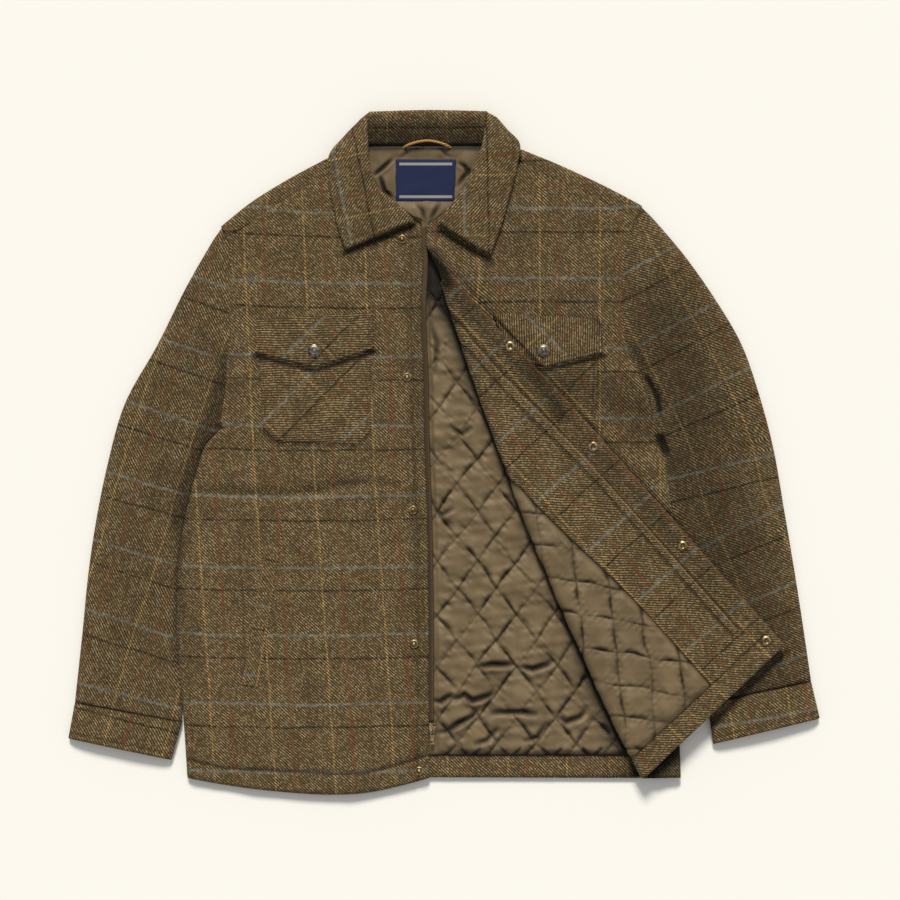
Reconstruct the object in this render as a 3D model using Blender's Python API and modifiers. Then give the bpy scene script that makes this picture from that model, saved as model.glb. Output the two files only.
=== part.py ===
"""A tweed shirt-jacket with a quilted lining, laid flat on its back with its left front folded open.

Sizes are in millimetres on a drawing frame: x = 0 is the centre-front line, y = 0 the back hem,
z = 0 the surface that it lies on. Left and right are the wearer's, so right is at -x.
"""
import math
from collections import namedtuple

import bmesh
import bpy
import numpy as np
from mathutils import Matrix, Vector

# Driving dimensions, in millimetres.
MM = 0.001
GAP = 0.3                       # between two pieces at a seam
CENTRE = (24.4, 397.3)          # middle of the whole outline, brought to the origin

BACK_CLOTH = 5.0                # back: wool with the padding behind it
FRONT_CLOTH = 5.0               # front: the same
EDGE_CLOTH = 4.2                # front near its edge, pressed by the sewing
FRONT_LIFT = 6.2                # underside of a front over the back
EDGE_LIFT = 7.4                 # underside of the right front where it lies on the lining
EDGE_PLATEAU = (34.0, 60.0)     # from the front edge: where that lift ends, and where it is gone
SIDE_ROUND = 10.0               # how far in a side's edge rounds over
SIDE_DROP = 3.6                 # how far its top falls there

LINING_BASE = 1.0               # lining along its quilting stitches
LINING_PUFF = 4.2               # rise of a quilted diamond
DIAMOND = (48.0, 63.0)          # width and height of a diamond
DIAMOND_STEPS = 3               # faces along a diamond's side
BACK_CROSSING = (16.7, 10.6)    # a place where two quilting lines of the back lining cross
LEFT_CROSSING = (-6.9, 10.1)    # the same on the left front's cut
LINING_FADE = (16.0, 40.0)      # from its hidden edges: where the puff starts, and where it is full
HEM_TURN = 26.5                 # width of the turned-up hem inside
TRIM_CLOTH = 2.2                # facing, pocket and hem turn
BACK_HEM_CLOTH = 1.8            # back hem turn, pressed flat

FACING_WIDTH = 99.0             # of the left front's facing
FACING_TOP = 608.0              # its height on the cut, just under the neck
FOLD_RADIUS = 4.2               # of the left front's middle surface round the fold
FOLD_START = (18.2, 641.4)      # where the fold's axis meets the front edge
FOLD_RUN = (0.3712, -0.9285)    # its direction, down to the hem
FOLD_LENGTH = 688.0
FOLD_BULGE = 15.0               # how far the soft fold bows out at its middle
FOLD_LIFT = 11.0                # underside of the left front where it rides up to the fold
FOLD_REACH = (6.0, 27.0)        # from the fold: where that lift starts to fall, and where it is gone
FOLD_HIDDEN = 0.45              # share of the half turn that faces down, left unlined

FRONT_TOP_HEIGHT = 673.4        # height of both fronts' top corners
LEFT_EDGE_FOOT = 31.7           # the left front's cut edge: x at the hem
LEFT_EDGE_SLOPE = 0.0344        # and how fast it comes in on the way up

SLEEVE_CLOTH = 5.0
SLEEVE_CROWN = 2.4              # rise of the top sleeve's middle
SLEEVE_ROUND = 16.0             # how far in its edges round over
SLEEVE_DROP = 4.4
CUFF_EXTRA = 0.6                # how far the cuff stands over the sleeve
COLLAR_CLOTH = 4.5

STUD_RADIUS = 5.4
SOCKET_RADIUS = 5.8
CAP_RADIUS = 8.2
ROUND_STEPS = 12                # facets round a snap
TAPE_CLOTH = 1.2
CORD_RADIUS = 1.5

# The body's outline at heights over the hem: its sides and the right front's edge.
BodyRow = namedtuple("BodyRow", "height right_side right_edge left_side")
BODY_ROWS = (
    BodyRow(0.0, -288.4, 5.6, 313.5),
    BodyRow(75.0, -293.4, 5.6, 311.0),
    BodyRow(150.0, -300.7, 5.6, 306.5),
    BodyRow(205.0, -302.6, 5.5, 303.3),
    BodyRow(272.0, -298.9, 4.6, 300.0),
    BodyRow(333.0, -289.1, 3.2, 297.0),
    BodyRow(370.0, -279.4, 1.8, 295.2),
    BodyRow(406.0, -267.0, 0.7, 293.4),
    BodyRow(424.0, -250.5, 0.2, 292.6),
)
RIGHT_EDGE_TOP = ((-0.6, 484.3), (-3.7, 568.5), (-1.6, 640.0), (-3.7, FRONT_TOP_HEIGHT))

# Armhole seams, from the shoulder down to the underarm.
RIGHT_ARMHOLE = ((-247.7, 673.4), (-240.3, 658.8), (-235.5, 624.6), (-235.5, 578.3),
                 (-239.1, 531.9), (-241.6, 484.3), (-249.5, 426.0))
LEFT_ARMHOLE = ((266.0, 698.5), (250.1, 656.4), (242.8, 613.7), (241.6, 571.0),
                (248.9, 524.6), (267.2, 479.5), (292.0, 424.0))
ARMHOLE_SHARE = 0.63            # the sides' share of a front's height, below the underarm
YOKE_END = 0.055                # share of the armhole that the shoulder strip takes
SEAM_SPARE = 0.6                # a curved seam's clearance on each side

# Where the pieces on both sides of an armhole or a side have their points, as shares of its length.
ARMHOLE_STEPS = (0.0, 0.03, 0.08, 0.15, 0.24, 0.33, 0.42, 0.51, 0.6, 0.69, 0.78, 0.86, 0.93, 0.975, 1.0)
SIDE_STEPS = (0.0, 0.06, 0.16, 0.26, 0.38, 0.5, 0.62, 0.72, 0.79, 0.84, 0.88, 0.92, 0.95, 0.98, 1.0)
CUFF_STEP = 0.16                # the side's share that the right cuff seam lies at

# Shoulder outlines from the armhole to the neck, and the neck ends of the forward seams.
RIGHT_SHOULDER = ((-247.7, 673.4), (-213.5, 700.9), (-170.2, 728.3), (-117.1, 757.0))
LEFT_SHOULDER = ((266.0, 698.5), (228.1, 718.6), (165.9, 747.9), (115.9, 768.5))
RIGHT_NECK = (-115.9, 739.3)
LEFT_NECK = (119.1, 751.0)

RIGHT_HEM = ((-288.4, 3.6), (-245.2, -4.9), (-179.3, -14.0), (-108.0, -18.7), (-70.8, -17.1),
             (-30.5, -9.4), (5.6, 0.0))
LEFT_HEM_SIDE = 5.0             # the left side's hem lies this much higher

# Sleeve outlines from the shoulder to the cuff seam, and each cuff's far end.
RIGHT_SLEEVE_OUTER = ((-247.7, 673.4), (-289.1, 601.5), (-325.7, 528.3), (-366.0, 455.1),
                      (-386.7, 381.9), (-401.4, 308.7), (-409.9, 250.1), (-417.2, 176.9), (-426.4, 91.5))
LEFT_SLEEVE_OUTER = ((266.0, 698.5), (323.3, 630.7), (353.8, 586.8), (388.0, 528.3), (408.7, 469.7),
                     (424.6, 411.1), (440.4, 323.3), (455.1, 235.5), (472.8, 117.1))
LEFT_SLEEVE_INNER = ((294.5, 422.0), (302.6, 385.5), (313.5, 308.7), (327.0, 217.2), (346.5, 91.5))
RIGHT_CUFF_INNER = (-296.5, 68.3)
RIGHT_CUFF_END = ((-434.3, 48.2), (-309.3, 22.0))
LEFT_CUFF_END = ((483.1, 72.6), (353.8, 41.5))

# Collar leaves: the roll round the neck and the outer edge, with the height of each one's top.
LeafRow = namedtuple("LeafRow", "roll outer roll_top outer_top")
RIGHT_LEAF = (
    LeafRow((-65.9, 812.5), (-78.1, 804.0), 15.0, 9.8),
    LeafRow((-68.3, 796.7), (-96.4, 784.5), 18.5, 11.5),
    LeafRow((-68.3, 771.0), (-115.9, 757.6), 21.5, 17.0),
    LeafRow((-67.1, 749.1), (-115.9, 734.4), 22.5, 17.5),
    LeafRow((-57.3, 721.0), (-110.4, 697.8), 22.5, 18.0),
    LeafRow((-35.4, 702.7), (-103.7, 668.6), 22.0, 18.5),
    LeafRow((-12.2, 680.2), (-95.2, 645.4), 20.5, 18.5),
)
LEFT_LEAF = (
    LeafRow((75.6, 812.5), (89.1, 806.4), 15.0, 9.8),
    LeafRow((74.4, 796.7), (101.3, 791.8), 18.5, 11.5),
    LeafRow((72.0, 775.9), (115.9, 774.7), 21.5, 17.0),
    LeafRow((64.7, 754.0), (113.5, 747.9), 22.5, 17.5),
    LeafRow((52.5, 725.9), (106.1, 717.4), 22.5, 18.0),
    LeafRow((34.2, 700.3), (95.2, 678.3), 22.5, 18.5),
    LeafRow((15.9, 678.3), (80.5, 638.1), 22.0, 18.5),
)
STAND_FOOT = ((-64.0, 772.0), (70.0, 772.0))
STAND_ROLL = ((-63.5, 813.2), (5.0, 814.6), (72.5, 814.6))
STAND_HEIGHTS = (10.2, 13.6)    # top of the stand at its foot and at the roll
FALL_OUTLINE = ((-64.0, 813.0), (74.0, 814.0), (88.0, 805.5), (100.0, 791.5), (113.0, 776.5),
                (96.0, 772.2), (-72.0, 771.6), (-112.0, 761.5), (-95.5, 784.0), (-77.5, 803.5))

NECK_LINING = ((-80.0, 768.6), (-77.0, 748.0), (-64.0, 724.0), (-45.0, 703.0), (-22.0, 686.5),
               (-2.6, 676.0), (-2.6, 671.8), (7.0, 671.8), (10.0, 676.5), (22.0, 684.5), (44.0, 701.5),
               (62.0, 724.0), (75.0, 748.0), (82.0, 768.6))
BACK_LINING = ((-19.5, 671.0), (-14.6, HEM_TURN + 0.4), (281.0, HEM_TURN + 0.4), (26.8, 671.0))
BACK_HEM = ((-14.6, 1.2), (-14.6, HEM_TURN), (281.0, HEM_TURN), (291.0, 1.2))

# Chest pocket on the right front. The left one is the same cut, moved and turned over.
POCKET_BAG = ((-201.0, 522.0), (-196.0, 428.0), (-181.0, 411.0), (-82.0, 408.0), (-65.0, 423.0), (-65.5, 522.0))
POCKET_FLAP = ((-204.0, 560.0), (-205.5, 519.7), (-133.6, 501.4), (-61.6, 524.6), (-63.4, 567.0))
POCKET_CAP = (-133.6, 521.0)
POCKET_SPARE = 6.0              # the left pocket starts this far past the rise to the fold
LEFT_POCKET_SHIFT = 12.0
WELT = ((-195.2, 283.0), (-175.7, 280.6), (-202.5, 109.8), (-222.0, 114.7))

STUDS = ((-26.8, 657.6), (-20.7, 489.2), (-13.4, 327.0), (-12.2, 163.5), (-6.1, 8.5))
SOCKETS = ((104.9, 526.4), (205.6, 404.4), (314.2, 283.9), (416.0, 168.6))

# Soft creases on the right front: ends, depth and half width.
Crease = namedtuple("Crease", "start end depth width")
FRONT_CREASES = (
    Crease((-269.0, 355.0), (-130.0, 350.0), 1.6, 14.0),
    Crease((-130.0, 350.0), (-33.0, 360.0), 1.1, 12.0),
    Crease((-240.0, 425.0), (-215.0, 300.0), 1.0, 12.0),
)

LABEL = ((-35.0, 755.2), (39.6, 755.2), (37.3, 704.0), (-35.0, 704.0))
HANGER = ((-25.0, 769.2, 8.4), (-23.4, 770.2, 11.4), (4.9, 777.4, 13.4), (31.0, 770.2, 11.4), (32.6, 769.2, 8.4))

ZIP_TOP = 662.0
ZIP_FOOT = 69.0
ZIP_LEVEL = 10.2                # underside of the right tape
ZIP_WIDTH = 5.6
ZIP_GAP = 0.5                   # beside the right front's edge
ZIP_IN = 30.0                   # the left tape's distance from the edge that covers it
LEFT_ZIP = (53.0, 532.0)        # its foot and top on the cut
LEFT_ZIP_WIDTH = 8.0
SLIDER_FOOT = 54.0
SLIDER_LENGTH = 13.0
SLIDER_HALF = 4.0
SLIDER_PLATE = 2.2
BRIDGE_HALF = 1.0
BRIDGE_SPAN = (2.0, 10.0)       # along the slider, outside
BRIDGE_WALL = 1.2
BRIDGE_RISE = 4.0
PULL_HALF = 2.7
PULL_ARM = 1.2                  # width of its side arms
PULL_BAR = 0.6                  # half the thickness of its bar
PULL_EYE = 6.5                  # hinge to the eye's far end
PULL_LENGTH = 17.6
PULL_AXIS = (4.6, 3.6)          # hinge: along the slider, and over its underside

# Finish: base colour, roughness, metallic.
FINISHES = {
    "tweed": ((0.115, 0.085, 0.042), 0.95, 0.0),
    "lining": ((0.175, 0.135, 0.083), 0.45, 0.0),
    "tape": ((0.060, 0.045, 0.030), 0.85, 0.0),
    "brass": ((0.300, 0.220, 0.120), 0.40, 1.0),
    "pewter": ((0.420, 0.390, 0.340), 0.35, 1.0),
    "label": ((0.016, 0.032, 0.155), 0.60, 0.0),
    "cord": ((0.510, 0.260, 0.045), 0.60, 0.0),
}


def smooth(start, end, value):
    """0 before start, 1 after end, and an even S between."""
    share = min(max((value - start) / (end - start), 0.0), 1.0)
    return share * share * (3.0 - 2.0 * share)


def line(points):
    """A smooth curve through points, as a function of the share of its length."""
    points = np.array(points, dtype=float)
    steps = np.linalg.norm(np.diff(points, axis=0), axis=1)
    knots = np.concatenate(([0.0], np.cumsum(steps))) / steps.sum()
    slopes = np.gradient(points, knots, axis=0)

    def at(share):
        i = int(np.clip(np.searchsorted(knots, share, side="right") - 1, 0, len(steps) - 1))
        width = knots[i + 1] - knots[i]
        t = (share - knots[i]) / width
        return ((2 * t**3 - 3 * t**2 + 1) * points[i] + (t**3 - 2 * t**2 + t) * width * slopes[i]
                + (3 * t**2 - 2 * t**3) * points[i + 1] + (t**3 - t**2) * width * slopes[i + 1])
    return at


def chain(first, second, split):
    """Two curves end to end, the first taking the share `split`."""
    return lambda share: first(share / split) if share < split else second((share - split) / (1.0 - split))


def part_of(curve, start, end):
    return lambda share: curve(start + (end - start) * share)


def moved(curve, dx, dy=0.0):
    return lambda share: curve(share) + np.array((dx, dy))


def patch(foot, top, left, right):
    """The plan between four edges: u runs from left to right, v from foot to top."""
    def at(u, v):
        corners = ((1 - u) * (1 - v) * foot(0.0) + u * (1 - v) * foot(1.0)
                   + (1 - u) * v * top(0.0) + u * v * top(1.0))
        return (1 - v) * foot(u) + v * top(u) + (1 - u) * left(v) + u * right(v) - corners
    return at


def even(count):
    return [i / count for i in range(count + 1)]


def round_off(distance, reach, drop):
    """How far a top falls near a rounded edge."""
    if distance >= reach:
        return 0.0
    inside = 1.0 - distance / reach
    return drop * (1.0 - math.sqrt(max(1.0 - inside * inside, 0.0)))


def make_finish(name, finish):
    colour, roughness, metallic = FINISHES[finish]
    material = bpy.data.materials.new(name + "_" + finish)
    material.use_nodes = True
    shader = material.node_tree.nodes["Principled BSDF"]
    shader.inputs["Base Color"].default_value = (*colour, 1.0)
    shader.inputs["Roughness"].default_value = roughness
    shader.inputs["Metallic"].default_value = metallic
    return material


def add_object(name, data, finish):
    obj = bpy.data.objects.new(name, data)
    data.materials.append(make_finish(name, finish))
    PARTS.objects.link(obj)
    obj.parent = ORIGIN
    return obj


def add_mesh(name, bm, finish):
    """A mesh object from a bmesh in millimetres."""
    bmesh.ops.recalc_face_normals(bm, faces=bm.faces)
    bmesh.ops.scale(bm, vec=(MM, MM, MM), verts=bm.verts)
    mesh = bpy.data.meshes.new(name)
    bm.to_mesh(mesh)
    bm.free()
    return add_object(name, mesh, finish)


def add_wall(name, columns, rows, top, under, finish):
    """A closed wall: a grid and its copy, moved to two surfaces of (u, v)."""
    bm = bmesh.new()
    bmesh.ops.create_grid(bm, x_segments=len(columns) - 1, y_segments=len(rows) - 1, size=1.0)
    upper = set(bm.verts)
    bmesh.ops.extrude_face_region(bm, geom=list(bm.faces), use_keep_orig=True)
    for vert in bm.verts:
        u = columns[round((vert.co.x + 1.0) / 2.0 * (len(columns) - 1))]
        v = rows[round((vert.co.y + 1.0) / 2.0 * (len(rows) - 1))]
        vert.co = Vector(top(u, v) if vert in upper else under(u, v))
    return add_mesh(name, bm, finish)


def add_plate(name, outline, low, high, finish):
    """A flat outline with a thickness."""
    curve = bpy.data.curves.new(name, "CURVE")
    curve.dimensions = "2D"
    curve.fill_mode = "BOTH"
    curve.extrude = (high - low) / 2.0 * MM
    spline = curve.splines.new("POLY")
    spline.points.add(len(outline) - 1)
    for point, (x, y) in zip(spline.points, outline):
        point.co = (x * MM, y * MM, 0.0, 1.0)
    spline.use_cyclic_u = True
    obj = add_object(name, curve, finish)
    obj.location.z = (low + high) / 2.0 * MM
    return obj


def add_turned(name, profile, place, finish):
    """A profile of (radius, height), top to bottom, turned about a vertical axis."""
    mesh = bpy.data.meshes.new(name)
    points = [(radius * MM, 0.0, height * MM) for radius, height in profile]
    mesh.from_pydata(points, [(i, i + 1) for i in range(len(points) - 1)], [])
    obj = add_object(name, mesh, finish)
    turn = obj.modifiers.new("turn", "SCREW")
    turn.steps = ROUND_STEPS
    turn.render_steps = ROUND_STEPS
    turn.use_merge_vertices = True
    turn.merge_threshold = 0.00001
    turn.use_smooth_shade = True
    obj.location = [value * MM for value in place]
    return obj


def with_height(plan, height):
    """A surface from a plan and the height of its points."""
    def at(u, v):
        point = plan(u, v)
        return point[0], point[1], height(u, v, point)
    return at


right_side = line([(row.right_side, row.height) for row in BODY_ROWS])
left_side = line([(row.left_side, row.height) for row in BODY_ROWS])
right_edge = line([(row.right_edge, row.height) for row in BODY_ROWS] + list(RIGHT_EDGE_TOP))
right_armhole = line(RIGHT_ARMHOLE)
left_armhole = line(LEFT_ARMHOLE)
right_shoulder = line(RIGHT_SHOULDER)
left_shoulder = line(LEFT_SHOULDER)


def right_edge_x(height):
    rows = [(row.height, row.right_edge) for row in BODY_ROWS] + [(y, x) for x, y in RIGHT_EDGE_TOP]
    return float(np.interp(height, [y for y, x in rows], [x for y, x in rows]))


def left_edge_x(height):
    return LEFT_EDGE_FOOT - LEFT_EDGE_SLOPE * height


def crease_depth(x, y):
    """Depth of the right front's creases at a point, fading at their ends."""
    depth = 0.0
    for crease in FRONT_CREASES:
        start, end = np.array(crease.start), np.array(crease.end)
        run = end - start
        share = float(np.dot(np.array((x, y)) - start, run) / np.dot(run, run))
        share = min(max(share, 0.0), 1.0)
        away = float(np.linalg.norm(np.array((x, y)) - start - share * run))
        ends = math.sin(math.pi * min(max(share, 0.02), 0.98)) ** 0.5
        depth = max(depth, crease.depth * ends * math.exp(-((away / crease.width) ** 2)))
    return depth


def front_rows(side_steps, extra=()):
    """Rows of a front, hem to shoulder, that meet the side's and the armhole's points."""
    rows = [ARMHOLE_SHARE * share for share in side_steps]
    above = [(1.0 - share) / (1.0 - YOKE_END) for share in ARMHOLE_STEPS[::-1] if share > YOKE_END]
    rows += [ARMHOLE_SHARE + (1.0 - ARMHOLE_SHARE) * share for share in above[1:]]
    return sorted(rows + [1.0] + list(extra))


def right_front_plan():
    side = chain(right_side, part_of(moved(right_armhole, SEAM_SPARE), 1.0, YOKE_END), ARMHOLE_SHARE)
    shoulder = line((moved(right_armhole, SEAM_SPARE)(YOKE_END), RIGHT_NECK))
    neck = line((RIGHT_NECK, RIGHT_EDGE_TOP[-1]))
    return patch(line(RIGHT_HEM), chain(shoulder, neck, 0.5), side, right_edge)


def build_right_front():
    plan = right_front_plan()

    def lift(point):
        return 1.0 - smooth(*EDGE_PLATEAU, right_edge_x(point[1]) - point[0])

    def under(u, v, point):
        return FRONT_LIFT + (EDGE_LIFT - FRONT_LIFT) * lift(point)

    def top(u, v, point):
        cloth = FRONT_CLOTH + (EDGE_CLOTH - FRONT_CLOTH) * lift(point)
        side = np.linalg.norm(point - plan(0.0, v))
        drop = round_off(side, SIDE_ROUND, SIDE_DROP) * (1.0 - smooth(ARMHOLE_SHARE - 0.02, ARMHOLE_SHARE + 0.03, v))
        return under(u, v, point) + cloth - drop - crease_depth(*point)

    columns = [0.0, 0.012, 0.032, 0.08, 0.17, 0.27, 0.37, 0.47, 0.57, 0.67, 0.77, 0.83, 0.89, 0.945, 1.0]
    add_wall("right_front", columns, front_rows(SIDE_STEPS), with_height(plan, top), with_height(plan, under), "tweed")


FOLD_SIDE = (-FOLD_RUN[1], FOLD_RUN[0])
HALF_TURN = math.pi * FOLD_RADIUS


def fold_reach(x, y):
    """How far a point of the left front's cut lies from the fold, towards the side seam."""
    return (x - FOLD_START[0]) * FOLD_SIDE[0] + (y - FOLD_START[1]) * FOLD_SIDE[1]


def fold_x(reach, y):
    """The cut's x at a distance from the fold, in the row at height y."""
    return FOLD_START[0] + (reach - (y - FOLD_START[1]) * FOLD_SIDE[1]) / FOLD_SIDE[0]


def lower_lift(reach):
    return FRONT_LIFT + (FOLD_LIFT - FRONT_LIFT) * (1.0 - smooth(*FOLD_REACH, reach))


def lower_cloth(reach):
    return EDGE_CLOTH + (FRONT_CLOTH - EDGE_CLOTH) * smooth(*FOLD_REACH, reach)


FOLD_MIDDLE = FOLD_LIFT + EDGE_CLOTH / 2.0


def folded(x, y, inward):
    """Where a point of the left front's cut lies, `inward` from its middle towards the lining."""
    reach = fold_reach(x, y)
    along = (x - FOLD_START[0]) * FOLD_RUN[0] + (y - FOLD_START[1]) * FOLD_RUN[1]
    bow = FOLD_BULGE * math.sin(math.pi * min(max(along / FOLD_LENGTH, 0.0), 1.0)) ** 0.8
    if reach >= 0.0:
        middle = lower_lift(reach) + lower_cloth(reach) / 2.0
        side, height = reach, middle - inward
        bow *= 1.0 - smooth(0.0, 60.0, reach)
    elif reach > -HALF_TURN:
        turn = -reach / FOLD_RADIUS
        side = -(FOLD_RADIUS + inward) * math.sin(turn)
        height = FOLD_MIDDLE + FOLD_RADIUS - (FOLD_RADIUS + inward) * math.cos(turn)
    else:
        side = -reach - HALF_TURN
        height = FOLD_MIDDLE + 2.0 * FOLD_RADIUS + inward
        bow *= 1.0 - smooth(0.0, 80.0, side)
    side -= bow
    return (FOLD_START[0] + along * FOLD_RUN[0] + side * FOLD_SIDE[0],
            FOLD_START[1] + along * FOLD_RUN[1] + side * FOLD_SIDE[1], height)


def left_front_cut():
    """The left front's cut before it is folded: u from the front edge to the side."""
    side = chain(left_side, part_of(moved(left_armhole, -SEAM_SPARE), 1.0, YOKE_END), ARMHOLE_SHARE)
    shoulder = line((LEFT_NECK, moved(left_armhole, -SEAM_SPARE)(YOKE_END)))
    neck = line(((left_edge_x(FRONT_TOP_HEIGHT), FRONT_TOP_HEIGHT), LEFT_NECK))
    foot = line(((left_edge_x(0.0), 0.0), (BODY_ROWS[0].left_side, 0.0)))
    edge = line(((left_edge_x(0.0), 0.0), (left_edge_x(FRONT_TOP_HEIGHT), FRONT_TOP_HEIGHT)))
    return patch(foot, chain(neck, shoulder, 0.5), edge, side)


def build_left_front():
    cut = left_front_cut()
    turned, roll, lower = 4, 6, 7
    samples = even(240)
    shortest = 12.0             # narrowest strip that the turned columns keep near the neck

    def row_points(v):
        """The cut's points along a row: the turned part, the roll, and the part that lies under."""
        points = np.array([cut(u, v) for u in samples])
        reach = np.array([fold_reach(x, y) for x, y in points])
        start, end = reach[0], reach[-1]
        strip = max(-start, shortest)
        bend = min(HALF_TURN, max(strip / 2.0, strip - 4.0))
        fold = start + strip
        marks = np.concatenate((np.linspace(start, fold - bend, turned, endpoint=False),
                                np.linspace(fold - bend, fold, roll, endpoint=False),
                                fold + (end - fold) * np.array([i / lower for i in range(lower - 2)]),
                                end - np.array((SIDE_ROUND, SIDE_ROUND / 3.0, 0.0))))
        return np.stack((np.interp(marks, reach, points[:, 0]), np.interp(marks, reach, points[:, 1])), axis=1)

    near_neck = (0.9, 0.91, 0.919, 0.937, 0.946, 0.955, 0.972, 0.981)
    rows = front_rows((0.0, 0.1, 0.24, 0.38, 0.52, 0.66, 0.8, 0.92, 1.0), near_neck)
    points = {v: row_points(v) for v in rows}
    columns = list(range(turned + roll + lower + 1))

    def half(x, y):
        return lower_cloth(fold_reach(x, y)) / 2.0

    def outside(column, v):
        x, y = points[v][column]
        point = folded(x, y, -half(x, y))
        below = 1.0 - smooth(ARMHOLE_SHARE - 0.02, ARMHOLE_SHARE + 0.03, v)
        side = np.linalg.norm(points[v][column] - points[v][-1])
        return point[0], point[1], point[2] - round_off(side, SIDE_ROUND, SIDE_DROP) * below

    def inside(column, v):
        x, y = points[v][column]
        return folded(x, y, half(x, y))

    add_wall("left_front", columns, rows, outside, inside, "tweed")


FLAP_GAP = 0.45                 # round the fold, where facets of two pieces differ
ON_FLAP = EDGE_CLOTH / 2.0 + FLAP_GAP


def flap_strip(name, heights, near, far, low, high, columns, finish):
    """A strip on the turned front's inside, between two distances from its cut edge."""
    flat, bend = columns

    def row_marks(y):
        """Distances from the fold: even over the flat part, then even round the bend."""
        start = fold_reach(left_edge_x(y) + near, y)
        end = min(fold_reach(left_edge_x(y) + far, y), -FOLD_HIDDEN * HALF_TURN)
        width = end - start
        border = max(start + 0.3 * width, min(-HALF_TURN - 1.0, start + 0.9 * width))
        return [start + (border - start) * share for share in even(flat)[:-1]] + \
               [border + (end - border) * share for share in even(bend)]

    marks = {y: row_marks(y) for y in heights}

    def top(column, y):
        return folded(fold_x(marks[y][column], y), y, high)

    def under(column, y):
        return folded(fold_x(marks[y][column], y), y, low)

    add_wall(name, list(range(flat + bend + 1)), heights, top, under, finish)


def meet_height(reach):
    """Height on the cut where the facing's inner edge comes to a distance from the fold."""
    rise = LEFT_EDGE_FOOT + FACING_WIDTH - FOLD_START[0]
    slope = FOLD_SIDE[1] - LEFT_EDGE_SLOPE * FOLD_SIDE[0]
    return (reach - rise * FOLD_SIDE[0] + FOLD_START[1] * FOLD_SIDE[1]) / slope


def build_left_inside():
    face = ON_FLAP + TRIM_CLOTH
    leave, reach = meet_height(-HALF_TURN - 1.0), meet_height(-FOLD_HIDDEN * HALF_TURN)
    foot = HEM_TURN + GAP
    heights = [foot + (leave - foot) * share for share in even(5)]
    heights += [leave + (reach - leave) * share for share in even(7)[1:]]
    heights += [reach + (FACING_TOP - reach) * share for share in (0.2, 0.4, 0.6, 0.75, 0.87, 0.95, 1.0)]
    flap_strip("left_facing", heights, 0.6, FACING_WIDTH, ON_FLAP, face, (4, 6), "tweed")
    flap_strip("left_hem", [0.6, HEM_TURN / 2.0, HEM_TURN], 0.6, 400.0, ON_FLAP, face, (10, 7), "tweed")
    tape = [LEFT_ZIP[0] + (LEFT_ZIP[1] - LEFT_ZIP[0]) * share for share in
            (0.0, 0.2, 0.4, 0.6, 0.75, 0.87, 0.94, 0.955, 0.965, 0.974, 0.983, 0.992, 1.0)]
    on_facing = face + FLAP_GAP
    flap_strip("zip_left", tape, ZIP_IN, ZIP_IN + LEFT_ZIP_WIDTH, on_facing, on_facing + TAPE_CLOTH, (1, 3), "tape")


def diamonds(x, y, crossing):
    """How many lines of each direction lie between a crossing and a point."""
    across, up = (x - crossing[0]) / DIAMOND[0], (y - crossing[1]) / DIAMOND[1]
    return across + up, across - up


def diamond_puff(x, y, crossing):
    """The quilting's rise at a point of a lining, from 0 at its stitches to 1."""
    first, second = diamonds(x, y, crossing)
    return abs(math.sin(math.pi * first) * math.sin(math.pi * second)) ** 0.75


def edge_distance(x, y, start, end):
    """Signed distance of a point from a line, positive on its left."""
    run = np.array(end) - np.array(start)
    return float(run[0] * (y - start[1]) - run[1] * (x - start[0])) / float(np.linalg.norm(run))


def add_quilt(name, outline, crossing, place, puff, creases=()):
    """A quilted wall: a grid along the stitch lines, cut to an outline that runs anticlockwise.

    Each crease, a point and a direction across it, gets a row of points of its own.
    """
    xs, ys = zip(*outline)
    corners = [diamonds(x, y, crossing) for x in (min(xs), max(xs)) for y in (min(ys), max(ys))]
    firsts, seconds = zip(*corners)
    low = (math.floor(min(firsts)), math.floor(min(seconds)))
    cells = (math.ceil(max(firsts)) - low[0], math.ceil(max(seconds)) - low[1])
    bm = bmesh.new()
    bmesh.ops.create_grid(bm, x_segments=cells[0] * DIAMOND_STEPS, y_segments=cells[1] * DIAMOND_STEPS, size=1.0)
    for vert in bm.verts:
        first = low[0] + (vert.co.x + 1.0) / 2.0 * cells[0]
        second = low[1] + (vert.co.y + 1.0) / 2.0 * cells[1]
        vert.co = Vector((crossing[0] + (first + second) / 2.0 * DIAMOND[0],
                          crossing[1] + (first - second) / 2.0 * DIAMOND[1], 0.0))
    for start, end in zip(outline, outline[1:] + outline[:1]):
        away = Vector((start[1] - end[1], end[0] - start[0], 0.0))
        bmesh.ops.bisect_plane(bm, geom=list(bm.verts) + list(bm.edges) + list(bm.faces), dist=0.5,
                               plane_co=Vector((*start, 0.0)), plane_no=away, clear_inner=True)
    for point, across in creases:
        bmesh.ops.bisect_plane(bm, geom=list(bm.verts) + list(bm.edges) + list(bm.faces), dist=0.5,
                               plane_co=Vector((*point, 0.0)), plane_no=Vector((*across, 0.0)))
    upper = set(bm.verts)
    copy = bmesh.ops.extrude_face_region(bm, geom=list(bm.faces), use_keep_orig=True)["geom"]
    if not creases:
        bmesh.ops.dissolve_faces(bm, faces=[item for item in copy if isinstance(item, bmesh.types.BMFace)])
    for vert in bm.verts:
        x, y = vert.co.x, vert.co.y
        rise = LINING_BASE + LINING_PUFF * puff(x, y) if vert in upper else 0.0
        vert.co = Vector(place(x, y, rise))
    return add_mesh(name, bm, "lining")


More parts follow.
